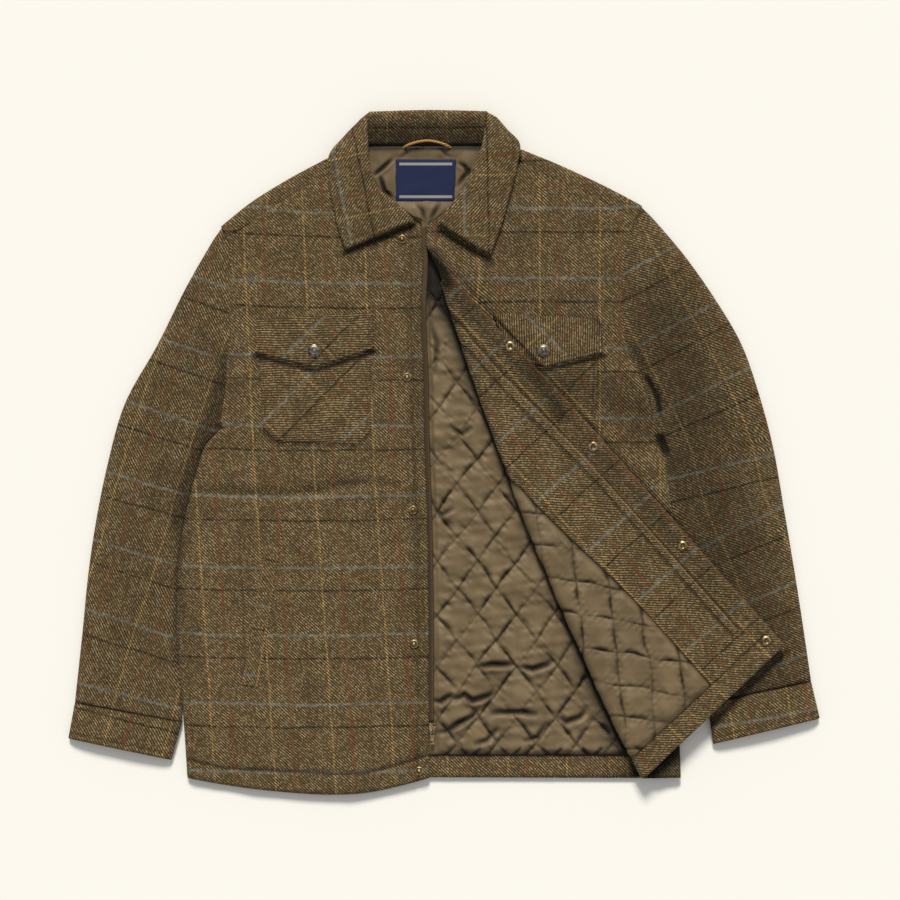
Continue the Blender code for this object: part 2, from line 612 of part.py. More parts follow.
def build_linings():
    floor = BACK_CLOTH + GAP
    right, left = BACK_LINING[:2], BACK_LINING[2:]

    def back_puff(x, y):
        inside = min(abs(edge_distance(x, y, *right)), abs(edge_distance(x, y, *left)))
        return diamond_puff(x, y, BACK_CROSSING) * smooth(*LINING_FADE, inside)

    add_quilt("back_lining", list(BACK_LINING), BACK_CROSSING, lambda x, y, rise: (x, y, floor + rise), back_puff)

    foot = HEM_TURN + GAP
    hidden = -FOLD_HIDDEN * HALF_TURN
    inner = FACING_WIDTH + GAP
    meet = meet_height(hidden) - 2.0
    triangle = [(left_edge_x(foot) + inner, foot), (fold_x(hidden, foot), foot), (fold_x(hidden, meet), meet)]
    bends = [((fold_x(-HALF_TURN * share, foot), foot), FOLD_SIDE) for share in (0.56, 0.67, 0.78, 0.89, 1.0)]
    add_quilt("left_lining", triangle, LEFT_CROSSING, lambda x, y, rise: folded(x, y, ON_FLAP + rise),
              lambda x, y: diamond_puff(x, y, LEFT_CROSSING), bends)
    add_plate("neck_lining", NECK_LINING, floor, floor + 1.5, "lining")
    add_plate("back_hem", BACK_HEM, floor, floor + BACK_HEM_CLOTH, "tweed")
    add_plate("label", LABEL, floor + 1.5 + GAP, floor + 2.6, "label")


def build_back():
    outline = [right_side(share) for share in SIDE_STEPS]
    outline += [moved(right_armhole, SEAM_SPARE)(share) for share in ARMHOLE_STEPS[::-1]]
    outline += [right_shoulder(share) for share in even(4)[1:]]
    outline += [np.array((-72.0, 769.6)), np.array((77.0, 769.6))]
    outline += [left_shoulder(1.0 - share) for share in even(4)[:-1]]
    outline += [moved(left_armhole, -SEAM_SPARE)(share) for share in ARMHOLE_STEPS]
    outline += [left_side(share) for share in SIDE_STEPS[:0:-1]]
    outline += [np.array((BODY_ROWS[0].left_side, LEFT_HEM_SIDE))]
    outline += [np.array((262.0, -1.0)), np.array((5.6, 0.0))]
    add_plate("back", [tuple(point) for point in outline], 0.0, BACK_CLOTH, "tweed")


def build_yoke(name, shoulder, armhole, neck, inward):
    """The strip of the back that comes over a shoulder to the forward seam."""
    seam_end = np.array(neck) + np.array((0.0, GAP * 1.4))
    end = part_of(moved(armhole, inward), 0.0, YOKE_END * 0.93)
    seam = line((end(1.0), seam_end))
    outer = chain(lambda share: end(0.0) + (shoulder(0.06) - end(0.0)) * share, part_of(shoulder, 0.06, 1.0), 0.06)
    plan = patch(seam, outer, part_of(end, 1.0, 0.0), line((seam_end, shoulder(1.0))))

    def under(u, v, point):
        return BACK_CLOTH + GAP

    def top(u, v, point):
        across = np.linalg.norm(plan(u, 1.0) - point)
        return FRONT_LIFT + FRONT_CLOTH - round_off(across, SIDE_ROUND, SIDE_DROP)

    add_wall(name, even(8), [0.0, 0.4, 0.7, 0.9, 1.0], with_height(plan, top), with_height(plan, under), "tweed")


def sleeve_heights(plan, extra):
    """Top and underside of a top sleeve or a cuff's top half."""
    def crown(u):
        return BACK_CLOTH + 2.0 * GAP + SLEEVE_CROWN * (1.0 - (2.0 * u - 1.0) ** 2)

    def top(u, v, point):
        edge = min(np.linalg.norm(point - plan(0.0, v)), np.linalg.norm(point - plan(1.0, v)))
        return crown(u) + SLEEVE_CLOTH + extra - round_off(edge, SLEEVE_ROUND, SLEEVE_DROP)

    def under(u, v, point):
        return crown(u)

    return with_height(plan, top), with_height(plan, under)


def build_sleeve(side, armhole, outward, outer, inner, rows, cuff_end):
    """A sleeve as an under and a top wall, and its cuff in two halves."""
    seam = line((outer(1.0), inner(1.0)))
    plan = patch(seam, moved(armhole, outward), part_of(outer, 1.0, 0.0), part_of(inner, 1.0, 0.0))
    add_wall(side + "_top_sleeve", ARMHOLE_STEPS, rows, *sleeve_heights(plan, 0.0), "tweed")
    outline = [plan(u, 1.0) for u in ARMHOLE_STEPS] + [plan(1.0, v) for v in rows[-2::-1]]
    outline += [plan(0.0, v) for v in rows[:-1]]
    add_plate(side + "_under_sleeve", outline, 0.0, BACK_CLOTH, "tweed")

    below = np.array((0.0, -GAP * 2.0))
    start, end = line((outer(1.0) + below, inner(1.0) + below)), line(cuff_end)
    cuff = patch(end, start, line((end(0.0), start(0.0))), line((end(1.0), start(1.0))))
    add_wall(side + "_cuff_top", ARMHOLE_STEPS, [0.0, 0.1, 0.5, 1.0], *sleeve_heights(cuff, CUFF_EXTRA), "tweed")
    add_plate(side + "_cuff_under", [start(0.0), start(1.0), end(1.0), end(0.0)], 0.0, BACK_CLOTH, "tweed")


def build_sleeves():
    beside = np.array((-1.2, 0.0))

    def right_inner(share):
        if share < 1.0:
            return right_side(1.0 - (1.0 - CUFF_STEP) * share) + beside
        return np.array(RIGHT_CUFF_INNER)

    rows = [(share - CUFF_STEP) / (1.0 - CUFF_STEP) for share in SIDE_STEPS if share >= CUFF_STEP]
    build_sleeve("right", right_armhole, -SEAM_SPARE, line(RIGHT_SLEEVE_OUTER), right_inner, rows, RIGHT_CUFF_END)
    build_sleeve("left", left_armhole, SEAM_SPARE, line(LEFT_SLEEVE_OUTER), line(LEFT_SLEEVE_INNER), even(12),
                 LEFT_CUFF_END)


def build_leaf(name, rows):
    """A collar leaf, from the roll round the neck out to its edge."""
    roll = line([(*row.roll, row.roll_top) for row in rows])
    outer = line([(*row.outer, row.outer_top) for row in rows])

    def top(u, v):
        point = roll(v) * (1.0 - u) + outer(v) * u
        across = np.linalg.norm(outer(v)[:2] - roll(v)[:2])
        fall = round_off(u * across, 7.0, 3.0) + round_off((1.0 - u) * across, 4.0, 1.6)
        return point[0], point[1], point[2] + 2.0 * math.sin(math.pi * u) - fall

    def under(u, v):
        point = roll(v) * (1.0 - u) + outer(v) * u
        return point[0], point[1], point[2] - COLLAR_CLOTH

    add_wall(name, [0.0, 0.05, 0.15, 0.35, 0.6, 0.85, 0.95, 1.0], even(12), top, under, "tweed")


def build_collar():
    build_leaf("right_collar_leaf", RIGHT_LEAF)
    build_leaf("left_collar_leaf", LEFT_LEAF)
    add_plate("collar_fall", FALL_OUTLINE, 0.0, BACK_CLOTH, "tweed")
    foot, roll = line(STAND_FOOT), line(STAND_ROLL)

    def plan(u, v):
        return foot(u) * (1.0 - v) + roll(u) * v

    def top(u, v, point):
        rise = STAND_HEIGHTS[0] + (STAND_HEIGHTS[1] - STAND_HEIGHTS[0]) * v
        return rise - round_off((1.0 - v) * (roll(u)[1] - foot(u)[1]), 7.0, 4.0)

    def under(u, v, point):
        return BACK_CLOTH + GAP + 2.0 * v

    rows = [0.0, 0.3, 0.6, 0.84, 0.94, 1.0]
    add_wall("collar_stand", even(10), rows, with_height(plan, top), with_height(plan, under), "tweed")


def build_pockets():
    top = FRONT_LIFT + FRONT_CLOTH
    bag = (top + 0.5, top + 0.5 + TRIM_CLOTH)
    flap = (bag[1] + GAP, bag[1] + GAP + TRIM_CLOTH)
    cap = [(0.0, 2.3), (4.0, 2.0), (6.6, 1.7), (CAP_RADIUS, 0.9), (CAP_RADIUS, 0.0), (0.0, 0.0)]

    def turned(points):
        """The left pocket, as far as the fold that hides the rest."""
        points = [(LEFT_POCKET_SHIFT - x, y) for x, y in points]
        reaches = [fold_reach(*point) - FOLD_REACH[1] - POCKET_SPARE for point in points]
        kept = []
        for i, (point, reach) in enumerate(zip(points, reaches)):
            before, reach_before = points[i - 1], reaches[i - 1]
            if (reach > 0.0) != (reach_before > 0.0):
                share = reach_before / (reach_before - reach)
                kept.append(tuple(a + (b - a) * share for a, b in zip(before, point)))
            if reach > 0.0:
                kept.append(point)
        return kept

    for side, place in (("right", list), ("left", turned)):
        add_plate(side + "_pocket", place(POCKET_BAG), *bag, "tweed")
        add_plate(side + "_pocket_flap", place(POCKET_FLAP), *flap, "tweed")
        x, y = place([POCKET_CAP])[0]
        add_turned(side + "_pocket_snap", cap, (x, y, flap[1] + GAP), "pewter")
    add_plate("right_welt", WELT, top + GAP, top + 2.0, "tweed")


def build_snaps():
    stud = [(0.0, 3.4), (1.8, 3.0), (1.8, 1.0), (4.6, 0.9), (STUD_RADIUS, 0.4), (STUD_RADIUS, 0.0), (0.0, 0.0)]
    socket = [(0.0, 0.9), (2.3, 0.9), (2.5, 2.1), (4.0, 2.1), (SOCKET_RADIUS, 0.7), (SOCKET_RADIUS, 0.0), (0.0, 0.0)]
    on_front = EDGE_LIFT + EDGE_CLOTH + GAP
    for number, (x, y) in enumerate(STUDS, 1):
        add_turned(f"snap_stud_{number}", stud, (x, y, on_front), "brass")
    on_facing = FOLD_MIDDLE + 2.0 * FOLD_RADIUS + ON_FLAP + TRIM_CLOTH + GAP
    for number, (x, y) in enumerate(SOCKETS, 1):
        add_turned(f"snap_socket_{number}", socket, (x, y, on_facing), "brass")


def add_box(bm, low, high):
    centre = [(a + b) / 2.0 for a, b in zip(low, high)]
    size = [b - a for a, b in zip(low, high)]
    matrix = Matrix.Translation(centre) @ Matrix.Diagonal((*size, 1.0))
    bmesh.ops.create_cube(bm, size=1.0, matrix=matrix)


def build_zip():
    def tape(level):
        """The tape beside the front's edge, on the points of the front's own rows."""
        def at(u, v):
            x, y = right_edge(v)
            return x + ZIP_GAP + ZIP_WIDTH * u, y, level
        return at

    rows = [v for v in front_rows(SIDE_STEPS) if ZIP_FOOT < right_edge(v)[1] < ZIP_TOP]
    add_wall("zip_right", even(2), rows, tape(ZIP_LEVEL + TAPE_CLOTH), tape(ZIP_LEVEL), "tape")

    middle = right_edge_x(SLIDER_FOOT) + ZIP_GAP + SLIDER_HALF
    plate = bmesh.new()
    add_box(plate, (-SLIDER_HALF, 0.0, 0.0), (SLIDER_HALF, SLIDER_LENGTH, SLIDER_PLATE))
    slider = add_mesh("zip_slider", plate, "brass")
    bridge = bmesh.new()
    sink = 0.5                  # how far the bridge is set into the plate
    high = SLIDER_PLATE + BRIDGE_RISE
    add_box(bridge, (-BRIDGE_HALF, BRIDGE_SPAN[0], SLIDER_PLATE - sink), (BRIDGE_HALF, BRIDGE_SPAN[1], high))
    arch = add_mesh("bridge_block", bridge, "brass")
    tunnel = bmesh.new()
    add_box(tunnel, (-3.0, BRIDGE_SPAN[0] + BRIDGE_WALL, SLIDER_PLATE),
            (3.0, BRIDGE_SPAN[1] - BRIDGE_WALL, high - BRIDGE_WALL))
    hole = add_mesh("bridge_tunnel", tunnel, "brass")
    for step, helper in (("UNION", arch), ("DIFFERENCE", hole)):
        joint = slider.modifiers.new(step.lower(), "BOOLEAN")
        joint.operation = step
        joint.object = helper
        PARTS.objects.unlink(helper)
        CUTTERS.objects.link(helper)
        helper.hide_render = True
        helper.display_type = "WIRE"
    for obj in (slider, arch, hole):
        obj.location = (middle * MM, SLIDER_FOOT * MM, ZIP_LEVEL * MM)

    pull = bpy.data.curves.new("zip_pull", "CURVE")
    pull.dimensions = "2D"
    pull.fill_mode = "BOTH"
    pull.extrude = PULL_BAR * MM
    inner = PULL_HALF - PULL_ARM
    outlines = (
        ((-PULL_HALF, PULL_BAR), (PULL_HALF, PULL_BAR), (PULL_HALF, 3.0 - PULL_LENGTH), (1.2, -PULL_LENGTH),
         (-1.2, -PULL_LENGTH), (-PULL_HALF, 3.0 - PULL_LENGTH)),
        ((-inner, -PULL_BAR), (inner, -PULL_BAR), (inner, -PULL_EYE), (-inner, -PULL_EYE)),
    )
    for outline in outlines:
        spline = pull.splines.new("POLY")
        spline.points.add(len(outline) - 1)
        for point, (x, y) in zip(spline.points, outline):
            point.co = (x * MM, y * MM, 0.0, 1.0)
        spline.use_cyclic_u = True
    obj = add_object("zip_pull", pull, "brass")
    obj.location = (middle * MM, (SLIDER_FOOT + PULL_AXIS[0]) * MM, (ZIP_LEVEL + PULL_AXIS[1]) * MM)


def build_hanger():
    curve = bpy.data.curves.new("hanger_loop", "CURVE")
    curve.dimensions = "3D"
    curve.bevel_depth = CORD_RADIUS * MM
    curve.bevel_resolution = 2
    curve.use_fill_caps = True
    path = line(HANGER)
    shares = even(20)
    spline = curve.splines.new("POLY")
    spline.points.add(len(shares) - 1)
    for point, share in zip(spline.points, shares):
        point.co = (*(path(share) * MM), 1.0)
    add_object("hanger_loop", curve, "cord")


for old in list(bpy.data.objects):
    bpy.data.objects.remove(old)
PARTS = bpy.data.collections.new("wool_jacket")
CUTTERS = bpy.data.collections.new("cutters")
bpy.context.scene.collection.children.link(PARTS)
bpy.context.scene.collection.children.link(CUTTERS)
ORIGIN = bpy.data.objects.new("drawing_frame", None)
ORIGIN.location = (-CENTRE[0] * MM, -CENTRE[1] * MM, 0.0)
PARTS.objects.link(ORIGIN)

build_back()
build_linings()
build_right_front()
build_left_front()
build_left_inside()
build_yoke("right_yoke", right_shoulder, right_armhole, RIGHT_NECK, SEAM_SPARE)
build_yoke("left_yoke", left_shoulder, left_armhole, LEFT_NECK, -SEAM_SPARE)
build_sleeves()
build_collar()
build_pockets()
build_snaps()
build_zip()
build_hanger()
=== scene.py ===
"""The looks of a tweed shirt-jacket laid flat: cloth, quilting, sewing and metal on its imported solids.

Lengths are in millimetres on the part's drawing frame until a mesh is made: x = 0 is the centre
front, y = 0 the back hem and z = 0 the surface below. Left and right are the wearer's.
"""
import math
from collections import namedtuple

import bmesh
import bpy
import numpy as np
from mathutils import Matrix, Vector
from mathutils.bvhtree import BVHTree


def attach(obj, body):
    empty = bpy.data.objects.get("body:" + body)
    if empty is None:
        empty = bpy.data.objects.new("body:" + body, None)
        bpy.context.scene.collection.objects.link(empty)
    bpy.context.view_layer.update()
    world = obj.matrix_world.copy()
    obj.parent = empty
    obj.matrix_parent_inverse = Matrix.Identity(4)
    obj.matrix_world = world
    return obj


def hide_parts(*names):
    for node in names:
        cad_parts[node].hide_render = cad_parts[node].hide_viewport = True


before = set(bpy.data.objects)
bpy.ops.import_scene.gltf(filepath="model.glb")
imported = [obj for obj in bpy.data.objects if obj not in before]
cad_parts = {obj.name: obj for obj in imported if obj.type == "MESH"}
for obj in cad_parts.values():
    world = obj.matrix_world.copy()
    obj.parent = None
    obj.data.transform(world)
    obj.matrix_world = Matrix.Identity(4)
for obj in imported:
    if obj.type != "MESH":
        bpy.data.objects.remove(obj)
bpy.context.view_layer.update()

MM = 0.001
CENTRE = (24.4, 397.3)          # of the drawing, which lies at the origin
JACKET = "jacket"

# Sizes of the solids, as the part states them.
GAP = 0.3
BACK_CLOTH = 5.0
FRONT_CLOTH = 5.0
EDGE_CLOTH = 4.2
FRONT_LIFT = 6.2
EDGE_LIFT = 7.4
EDGE_PLATEAU = (34.0, 60.0)
SIDE_ROUND = 10.0
SIDE_DROP = 3.6
LINING_BASE = 1.0
LINING_PUFF = 4.2
DIAMOND = (48.0, 63.0)
BACK_CROSSING = (16.7, 10.6)
LEFT_CROSSING = (-6.9, 10.1)
LINING_FADE = (16.0, 40.0)
HEM_TURN = 26.5
TRIM_CLOTH = 2.2
BACK_HEM_CLOTH = 1.8
FACING_WIDTH = 99.0
FACING_TOP = 608.0
FOLD_RADIUS = 4.2
FOLD_START = (18.2, 641.4)
FOLD_RUN = (0.3712, -0.9285)
FOLD_LENGTH = 688.0
FOLD_BULGE = 15.0
FOLD_LIFT = 11.0
FOLD_REACH = (6.0, 27.0)
FOLD_HIDDEN = 0.45
FRONT_TOP_HEIGHT = 673.4
LEFT_EDGE_FOOT = 31.7
LEFT_EDGE_SLOPE = 0.0344
SLEEVE_CLOTH = 5.0
SLEEVE_CROWN = 2.4
SLEEVE_ROUND = 16.0
SLEEVE_DROP = 4.4
CUFF_EXTRA = 0.6
COLLAR_CLOTH = 4.5
FLAP_GAP = 0.45
ON_FLAP = EDGE_CLOTH / 2.0 + FLAP_GAP
ARMHOLE_SHARE = 0.63
YOKE_END = 0.055
CUFF_STEP = 0.16

# Seams, sewing and quilting.
SEAM_TUCK = 2.0                 # of a sleeve or a yoke under the front
SEAM_DIP = 0.9                  # of its top, there
TURN_STITCH = 4.0               # from the inner edge of the facing or of a turned hem to its stitching
TAPE_STITCH = 2.6               # from the left zip's tape to the stitching beside it
CUFF_STITCH = 6.5               # from a cuff's end to its topstitching
STAND_STITCH = 795.4            # height of the collar stand's topstitching
QUILT_SWAY = (0.05, 70.0)       # of a quilting line: share of a diamond, and length of the waves
BACK_SEED = 31                  # of the quilting's unevenness
LEFT_SEED = 51

BodyRow = namedtuple("BodyRow", "height right_side right_edge left_side")
BODY_ROWS = (
    BodyRow(0.0, -288.4, 5.6, 313.5),
    BodyRow(75.0, -293.4, 5.6, 311.0),
    BodyRow(150.0, -300.7, 5.6, 306.5),
    BodyRow(205.0, -302.6, 5.5, 303.3),
    BodyRow(272.0, -298.9, 4.6, 300.0),
    BodyRow(333.0, -289.1, 3.2, 297.0),
    BodyRow(370.0, -279.4, 1.8, 295.2),
    BodyRow(406.0, -267.0, 0.7, 293.4),
    BodyRow(424.0, -250.5, 0.2, 292.6),
)
RIGHT_EDGE_TOP = ((-0.6, 484.3), (-3.7, 568.5), (-1.6, 640.0), (-3.7, FRONT_TOP_HEIGHT))
RIGHT_ARMHOLE = ((-247.7, 673.4), (-240.3, 658.8), (-235.5, 624.6), (-235.5, 578.3),
                 (-239.1, 531.9), (-241.6, 484.3), (-249.5, 426.0))
LEFT_ARMHOLE = ((266.0, 698.5), (250.1, 656.4), (242.8, 613.7), (241.6, 571.0),
                (248.9, 524.6), (267.2, 479.5), (292.0, 424.0))
RIGHT_SHOULDER = ((-247.7, 673.4), (-213.5, 700.9), (-170.2, 728.3), (-117.1, 757.0))
LEFT_SHOULDER = ((266.0, 698.5), (228.1, 718.6), (165.9, 747.9), (115.9, 768.5))
RIGHT_NECK = (-115.9, 739.3)
LEFT_NECK = (119.1, 751.0)
RIGHT_HEM = ((-288.4, 3.6), (-245.2, -4.9), (-179.3, -14.0), (-108.0, -18.7), (-70.8, -17.1),
             (-30.5, -9.4), (5.6, 0.0))
RIGHT_SLEEVE_OUTER = ((-247.7, 673.4), (-289.1, 601.5), (-325.7, 528.3), (-366.0, 455.1),
                      (-386.7, 381.9), (-401.4, 308.7), (-409.9, 250.1), (-417.2, 176.9), (-426.4, 91.5))
LEFT_SLEEVE_OUTER = ((266.0, 698.5), (323.3, 630.7), (353.8, 586.8), (388.0, 528.3), (408.7, 469.7),
                     (424.6, 411.1), (440.4, 323.3), (455.1, 235.5), (472.8, 117.1))
LEFT_SLEEVE_INNER = ((294.5, 422.0), (302.6, 385.5), (313.5, 308.7), (327.0, 217.2), (346.5, 91.5))
LEFT_TOP_INNER = ((294.5, 422.0), (296.5, 385.5), (300.5, 333.0), (306.0, 290.0), (318.0, 250.0), (327.0, 217.2),
                  (346.5, 91.5))
RIGHT_CUFF_INNER = (-296.5, 68.3)
RIGHT_CUFF_END = ((-434.3, 48.2), (-309.3, 22.0))
LEFT_CUFF_END = ((483.1, 72.6), (353.8, 41.5))

LeafRow = namedtuple("LeafRow", "roll outer roll_top outer_top")
RIGHT_LEAF = (
    LeafRow((-65.9, 812.5), (-78.1, 804.0), 15.0, 9.8),
    LeafRow((-68.3, 796.7), (-96.4, 784.5), 18.5, 11.5),
    LeafRow((-68.3, 771.0), (-115.9, 757.6), 21.5, 17.0),
    LeafRow((-67.1, 749.1), (-115.9, 734.4), 22.5, 17.5),
    LeafRow((-57.3, 721.0), (-110.4, 697.8), 22.5, 18.0),
    LeafRow((-35.4, 702.7), (-103.7, 668.6), 22.0, 18.5),
    LeafRow((-12.2, 680.2), (-95.2, 645.4), 20.5, 18.5),
)
LEFT_LEAF = (
    LeafRow((75.6, 812.5), (89.1, 806.4), 15.0, 9.8),
    LeafRow((74.4, 796.7), (101.3, 791.8), 18.5, 11.5),
    LeafRow((72.0, 775.9), (115.9, 774.7), 21.5, 17.0),
    LeafRow((64.7, 754.0), (113.5, 747.9), 22.5, 17.5),
    LeafRow((52.5, 725.9), (106.1, 717.4), 22.5, 18.0),
    LeafRow((34.2, 700.3), (95.2, 678.3), 22.5, 18.5),
    LeafRow((15.9, 678.3), (80.5, 638.1), 22.0, 18.5),
)
STAND_FOOT = ((-68.0, 772.0), (73.0, 772.0))
STAND_ROLL = ((-67.0, 812.6), (5.0, 814.6), (76.6, 813.2))
STAND_FOOT_HEIGHT = 10.2
FALL_OUTLINE = ((-64.0, 813.0), (74.0, 814.0), (88.0, 805.5), (100.0, 791.5), (113.0, 776.5),
                (96.0, 772.2), (-72.0, 771.6), (-112.0, 761.5), (-95.5, 784.0), (-77.5, 803.5))
NECK_LEFT = ((-2.6, 671.8), (-2.6, 676.0), (-22.0, 686.5), (-45.0, 703.0), (-64.0, 724.0), (-77.0, 748.0),
             (-80.0, 768.6))
NECK_RIGHT = ((7.0, 671.8), (10.0, 676.5), (22.0, 684.5), (44.0, 701.5), (62.0, 724.0), (75.0, 748.0),
              (82.0, 768.6))
BACK_LINING = ((-14.6, HEM_TURN + 0.4), (281.0, HEM_TURN + 0.4), (-19.5, 671.0), (26.8, 671.0))
BACK_HEM = ((-14.6, 1.2), (291.0, 1.2), (-14.6, HEM_TURN), (281.0, HEM_TURN))

# Pocket pieces: the foot from left to right, then the two top corners.
Pocket = namedtuple("Pocket", "side bag_foot bag_top flap_foot flap_top cap bag_grain flap_grain")
POCKETS = (
    Pocket("right", ((-196.0, 428.0), (-181.0, 411.0), (-82.0, 408.0), (-65.0, 423.0)),
           ((-201.0, 522.0), (-65.5, 522.0)),
           ((-205.5, 519.7), (-133.6, 501.4), (-61.6, 524.6)), ((-204.0, 560.0), (-63.4, 567.0)),
           (-133.6, 521.0), (45.0, 4.9, -5.5), (45.0, 36.9, 41.5)),
    Pocket("left", ((146.9, 409.9), (193.0, 411.0), (208.0, 428.0)), ((102.0, 522.0), (213.0, 522.0)),
           ((104.6, 514.6), (145.6, 501.4), (217.5, 519.7)), ((84.2, 566.5), (216.0, 560.0)),
           (145.6, 521.0), (45.0, 12.0, 30.0), (-45.0, 19.1, 39.1)),
)
WELT = ((-222.0, 114.7), (-202.5, 109.8), (-195.2, 283.0), (-175.7, 280.6))
STUDS = ((-26.8, 657.6), (-20.7, 489.2), (-13.4, 327.0), (-12.2, 163.5), (-6.1, 8.5))
SOCKETS = ((104.9, 526.4), (205.6, 404.4), (314.2, 283.9), (416.0, 168.6))
LABEL = ((-35.0, 704.0), (37.3, 704.0), (-35.0, 755.2), (39.6, 755.2))
HANGER = ((-25.0, 769.2, 8.4), (-23.4, 770.2, 11.4), (4.9, 777.4, 13.4), (31.0, 770.2, 11.4), (32.6, 769.2, 8.4))
CORD_RADIUS = 1.5
ZIP_TOP = 662.0
ZIP_FOOT = 69.0
ZIP_LEVEL = 10.2
ZIP_WIDTH = 5.6
ZIP_GAP = 0.5
TAPE_CLOTH = 1.2
ZIP_IN = 30.0
LEFT_ZIP = (53.0, 532.0)
LEFT_ZIP_WIDTH = 8.0

# Creases pressed into the cloth: points, depth, half width, and the rise of the lip beside it.
Crease = namedtuple("Crease", "points depth width lip")
FRONT_CREASES = (
    Crease(((-275.0, 352.0), (-225.0, 349.0), (-185.0, 346.0), (-133.0, 350.0), (-95.0, 358.0), (-62.0, 362.0),
            (-33.0, 360.0)), 3.8, 6.5, 2.4),
    Crease(((-250.0, 430.0), (-236.0, 404.0), (-222.0, 352.0)), 1.5, 8.0, 0.5),
    Crease(((-262.0, 330.0), (-270.0, 250.0), (-262.0, 150.0)), 0.8, 18.0, 0.3),
    Crease(((-150.0, 250.0), (-110.0, 170.0), (-95.0, 60.0)), 0.6, 22.0, 0.2),
    Crease(((-222.0, 640.0), (-190.0, 600.0), (-120.0, 590.0)), 0.6, 16.0, 0.2),
    Crease(((-100.0, 640.0), (-60.0, 560.0), (-40.0, 450.0)), 0.5, 18.0, 0.2),
)
LEFT_ARM_CREASES = (
    Crease(((272.0, 489.0), (285.0, 466.0), (288.0, 447.0)), 3.6, 4.0, 0.8),
    Crease(((288.0, 416.0), (295.0, 399.0)), 3.8, 5.0, 0.8),
)
LEFT_FRONT_CREASES = (
    *LEFT_ARM_CREASES,
    Crease(((245.0, 530.0), (222.0, 500.0), (214.0, 440.0)), 1.2, 9.0, 0.5),
    Crease(((255.0, 500.0), (250.0, 450.0), (262.0, 400.0)), 1.4, 8.0, 0.6),
    Crease(((120.0, 690.0), (170.0, 630.0), (225.0, 600.0)), 0.5, 16.0, 0.2),
)
RIGHT_SLEEVE_CREASES = (
    Crease(((-252.0, 440.0), (-275.0, 470.0), (-300.0, 520.0)), 1.6, 9.0, 0.6),
    Crease(((-262.0, 400.0), (-310.0, 420.0), (-352.0, 430.0)), 0.9, 13.0, 0.4),
    Crease(((-300.0, 300.0), (-340.0, 330.0), (-385.0, 330.0)), 0.7, 15.0, 0.3),
    Crease(((-330.0, 250.0), (-345.0, 180.0), (-350.0, 100.0)), 0.8, 16.0, 0.3),
)
LEFT_SLEEVE_CREASES = (
    *LEFT_ARM_CREASES,
    Crease(((258.0, 505.0), (270.0, 484.0), (286.0, 460.0), (296.0, 421.0)), 3.4, 5.0, 0.6),
    Crease(((275.0, 500.0), (310.0, 510.0), (350.0, 500.0)), 0.8, 13.0, 0.3),
    Crease(((302.0, 400.0), (335.0, 330.0), (350.0, 260.0)), 1.0, 14.0, 0.4),
    Crease(((420.0, 330.0), (395.0, 260.0), (405.0, 170.0)), 0.7, 16.0, 0.3),
)
LINING_CREASES = (
    Crease(((30.5, 93.9), (50.0, 101.3), (59.2, 93.9), (78.8, 100.0), (86.0, 108.6)), 3.0, 3.6, 1.4),
    Crease(((64.7, 135.4), (82.5, 138.5), (105.7, 137.9), (111.0, 140.3)), 2.8, 3.6, 1.4),
    Crease(((114.7, 136.6), (132.5, 133.0), (150.0, 138.5), (159.3, 144.0)), 2.8, 3.8, 1.4),
    Crease(((78.8, 78.0), (92.7, 80.5), (122.0, 80.5), (139.7, 76.9)), 2.6, 4.0, 1.3),
    Crease(((11.0, 54.9), (28.8, 58.0), (42.7, 67.1), (59.2, 75.6), (69.5, 90.3)), 2.6, 3.6, 1.2),
    Crease(((163.0, 75.6), (173.2, 68.3), (189.8, 74.4), (200.0, 84.8)), 2.4, 3.8, 1.2),
    Crease(((6.0, 96.0), (20.0, 93.0), (36.0, 103.0)), 2.4, 3.4, 1.0),
    Crease(((60.0, 40.0), (76.0, 46.0), (92.0, 62.0)), 2.0, 3.4, 1.0),
    Crease(((120.0, 45.0), (138.0, 50.0), (150.0, 66.0)), 2.0, 3.6, 1.0),
    Crease(((8.0, 330.0), (22.0, 322.0), (38.0, 330.0)), 1.8, 3.4, 0.8),
    Crease(((30.0, 430.0), (46.0, 420.0), (60.0, 428.0)), 1.8, 3.4, 0.8),
    Crease(((6.0, 560.0), (16.0, 530.0), (12.0, 490.0)), 1.6, 3.6, 0.8),
)


def smooth(start, end, value):
    """0 before start, 1 after end, and an even S between."""
    share = np.clip((value - start) / (end - start), 0.0, 1.0)
    return share * share * (3.0 - 2.0 * share)


def bell(away, width):
    """1 at no distance, falling softly away past the width."""
    return np.exp(-((away / width) ** 2))


def line(points):
    """A smooth curve through points, as a function of shares of its length."""
    points = np.array(points, dtype=float)
    steps = np.linalg.norm(np.diff(points, axis=0), axis=1)
    knots = np.concatenate(([0.0], np.cumsum(steps))) / steps.sum()
    slopes = np.gradient(points, knots, axis=0)

    def at(share):
        share = np.asarray(share, dtype=float)
        i = np.clip(np.searchsorted(knots, share, side="right") - 1, 0, len(steps) - 1)
        width = (knots[i + 1] - knots[i])[..., None]
        t = (share - knots[i])[..., None] / width
        return ((2 * t**3 - 3 * t**2 + 1) * points[i] + (t**3 - 2 * t**2 + t) * width * slopes[i]
                + (3 * t**2 - 2 * t**3) * points[i + 1] + (t**3 - t**2) * width * slopes[i + 1])
    return at


def bent(points):
    """Straight runs through points, as a function of shares of their length."""
    points = np.array(points, dtype=float)
    steps = np.linalg.norm(np.diff(points, axis=0), axis=1)
    knots = np.concatenate(([0.0], np.cumsum(steps))) / steps.sum()
    return lambda share: np.stack([np.interp(share, knots, points[:, k]) for k in range(points.shape[1])], axis=-1)


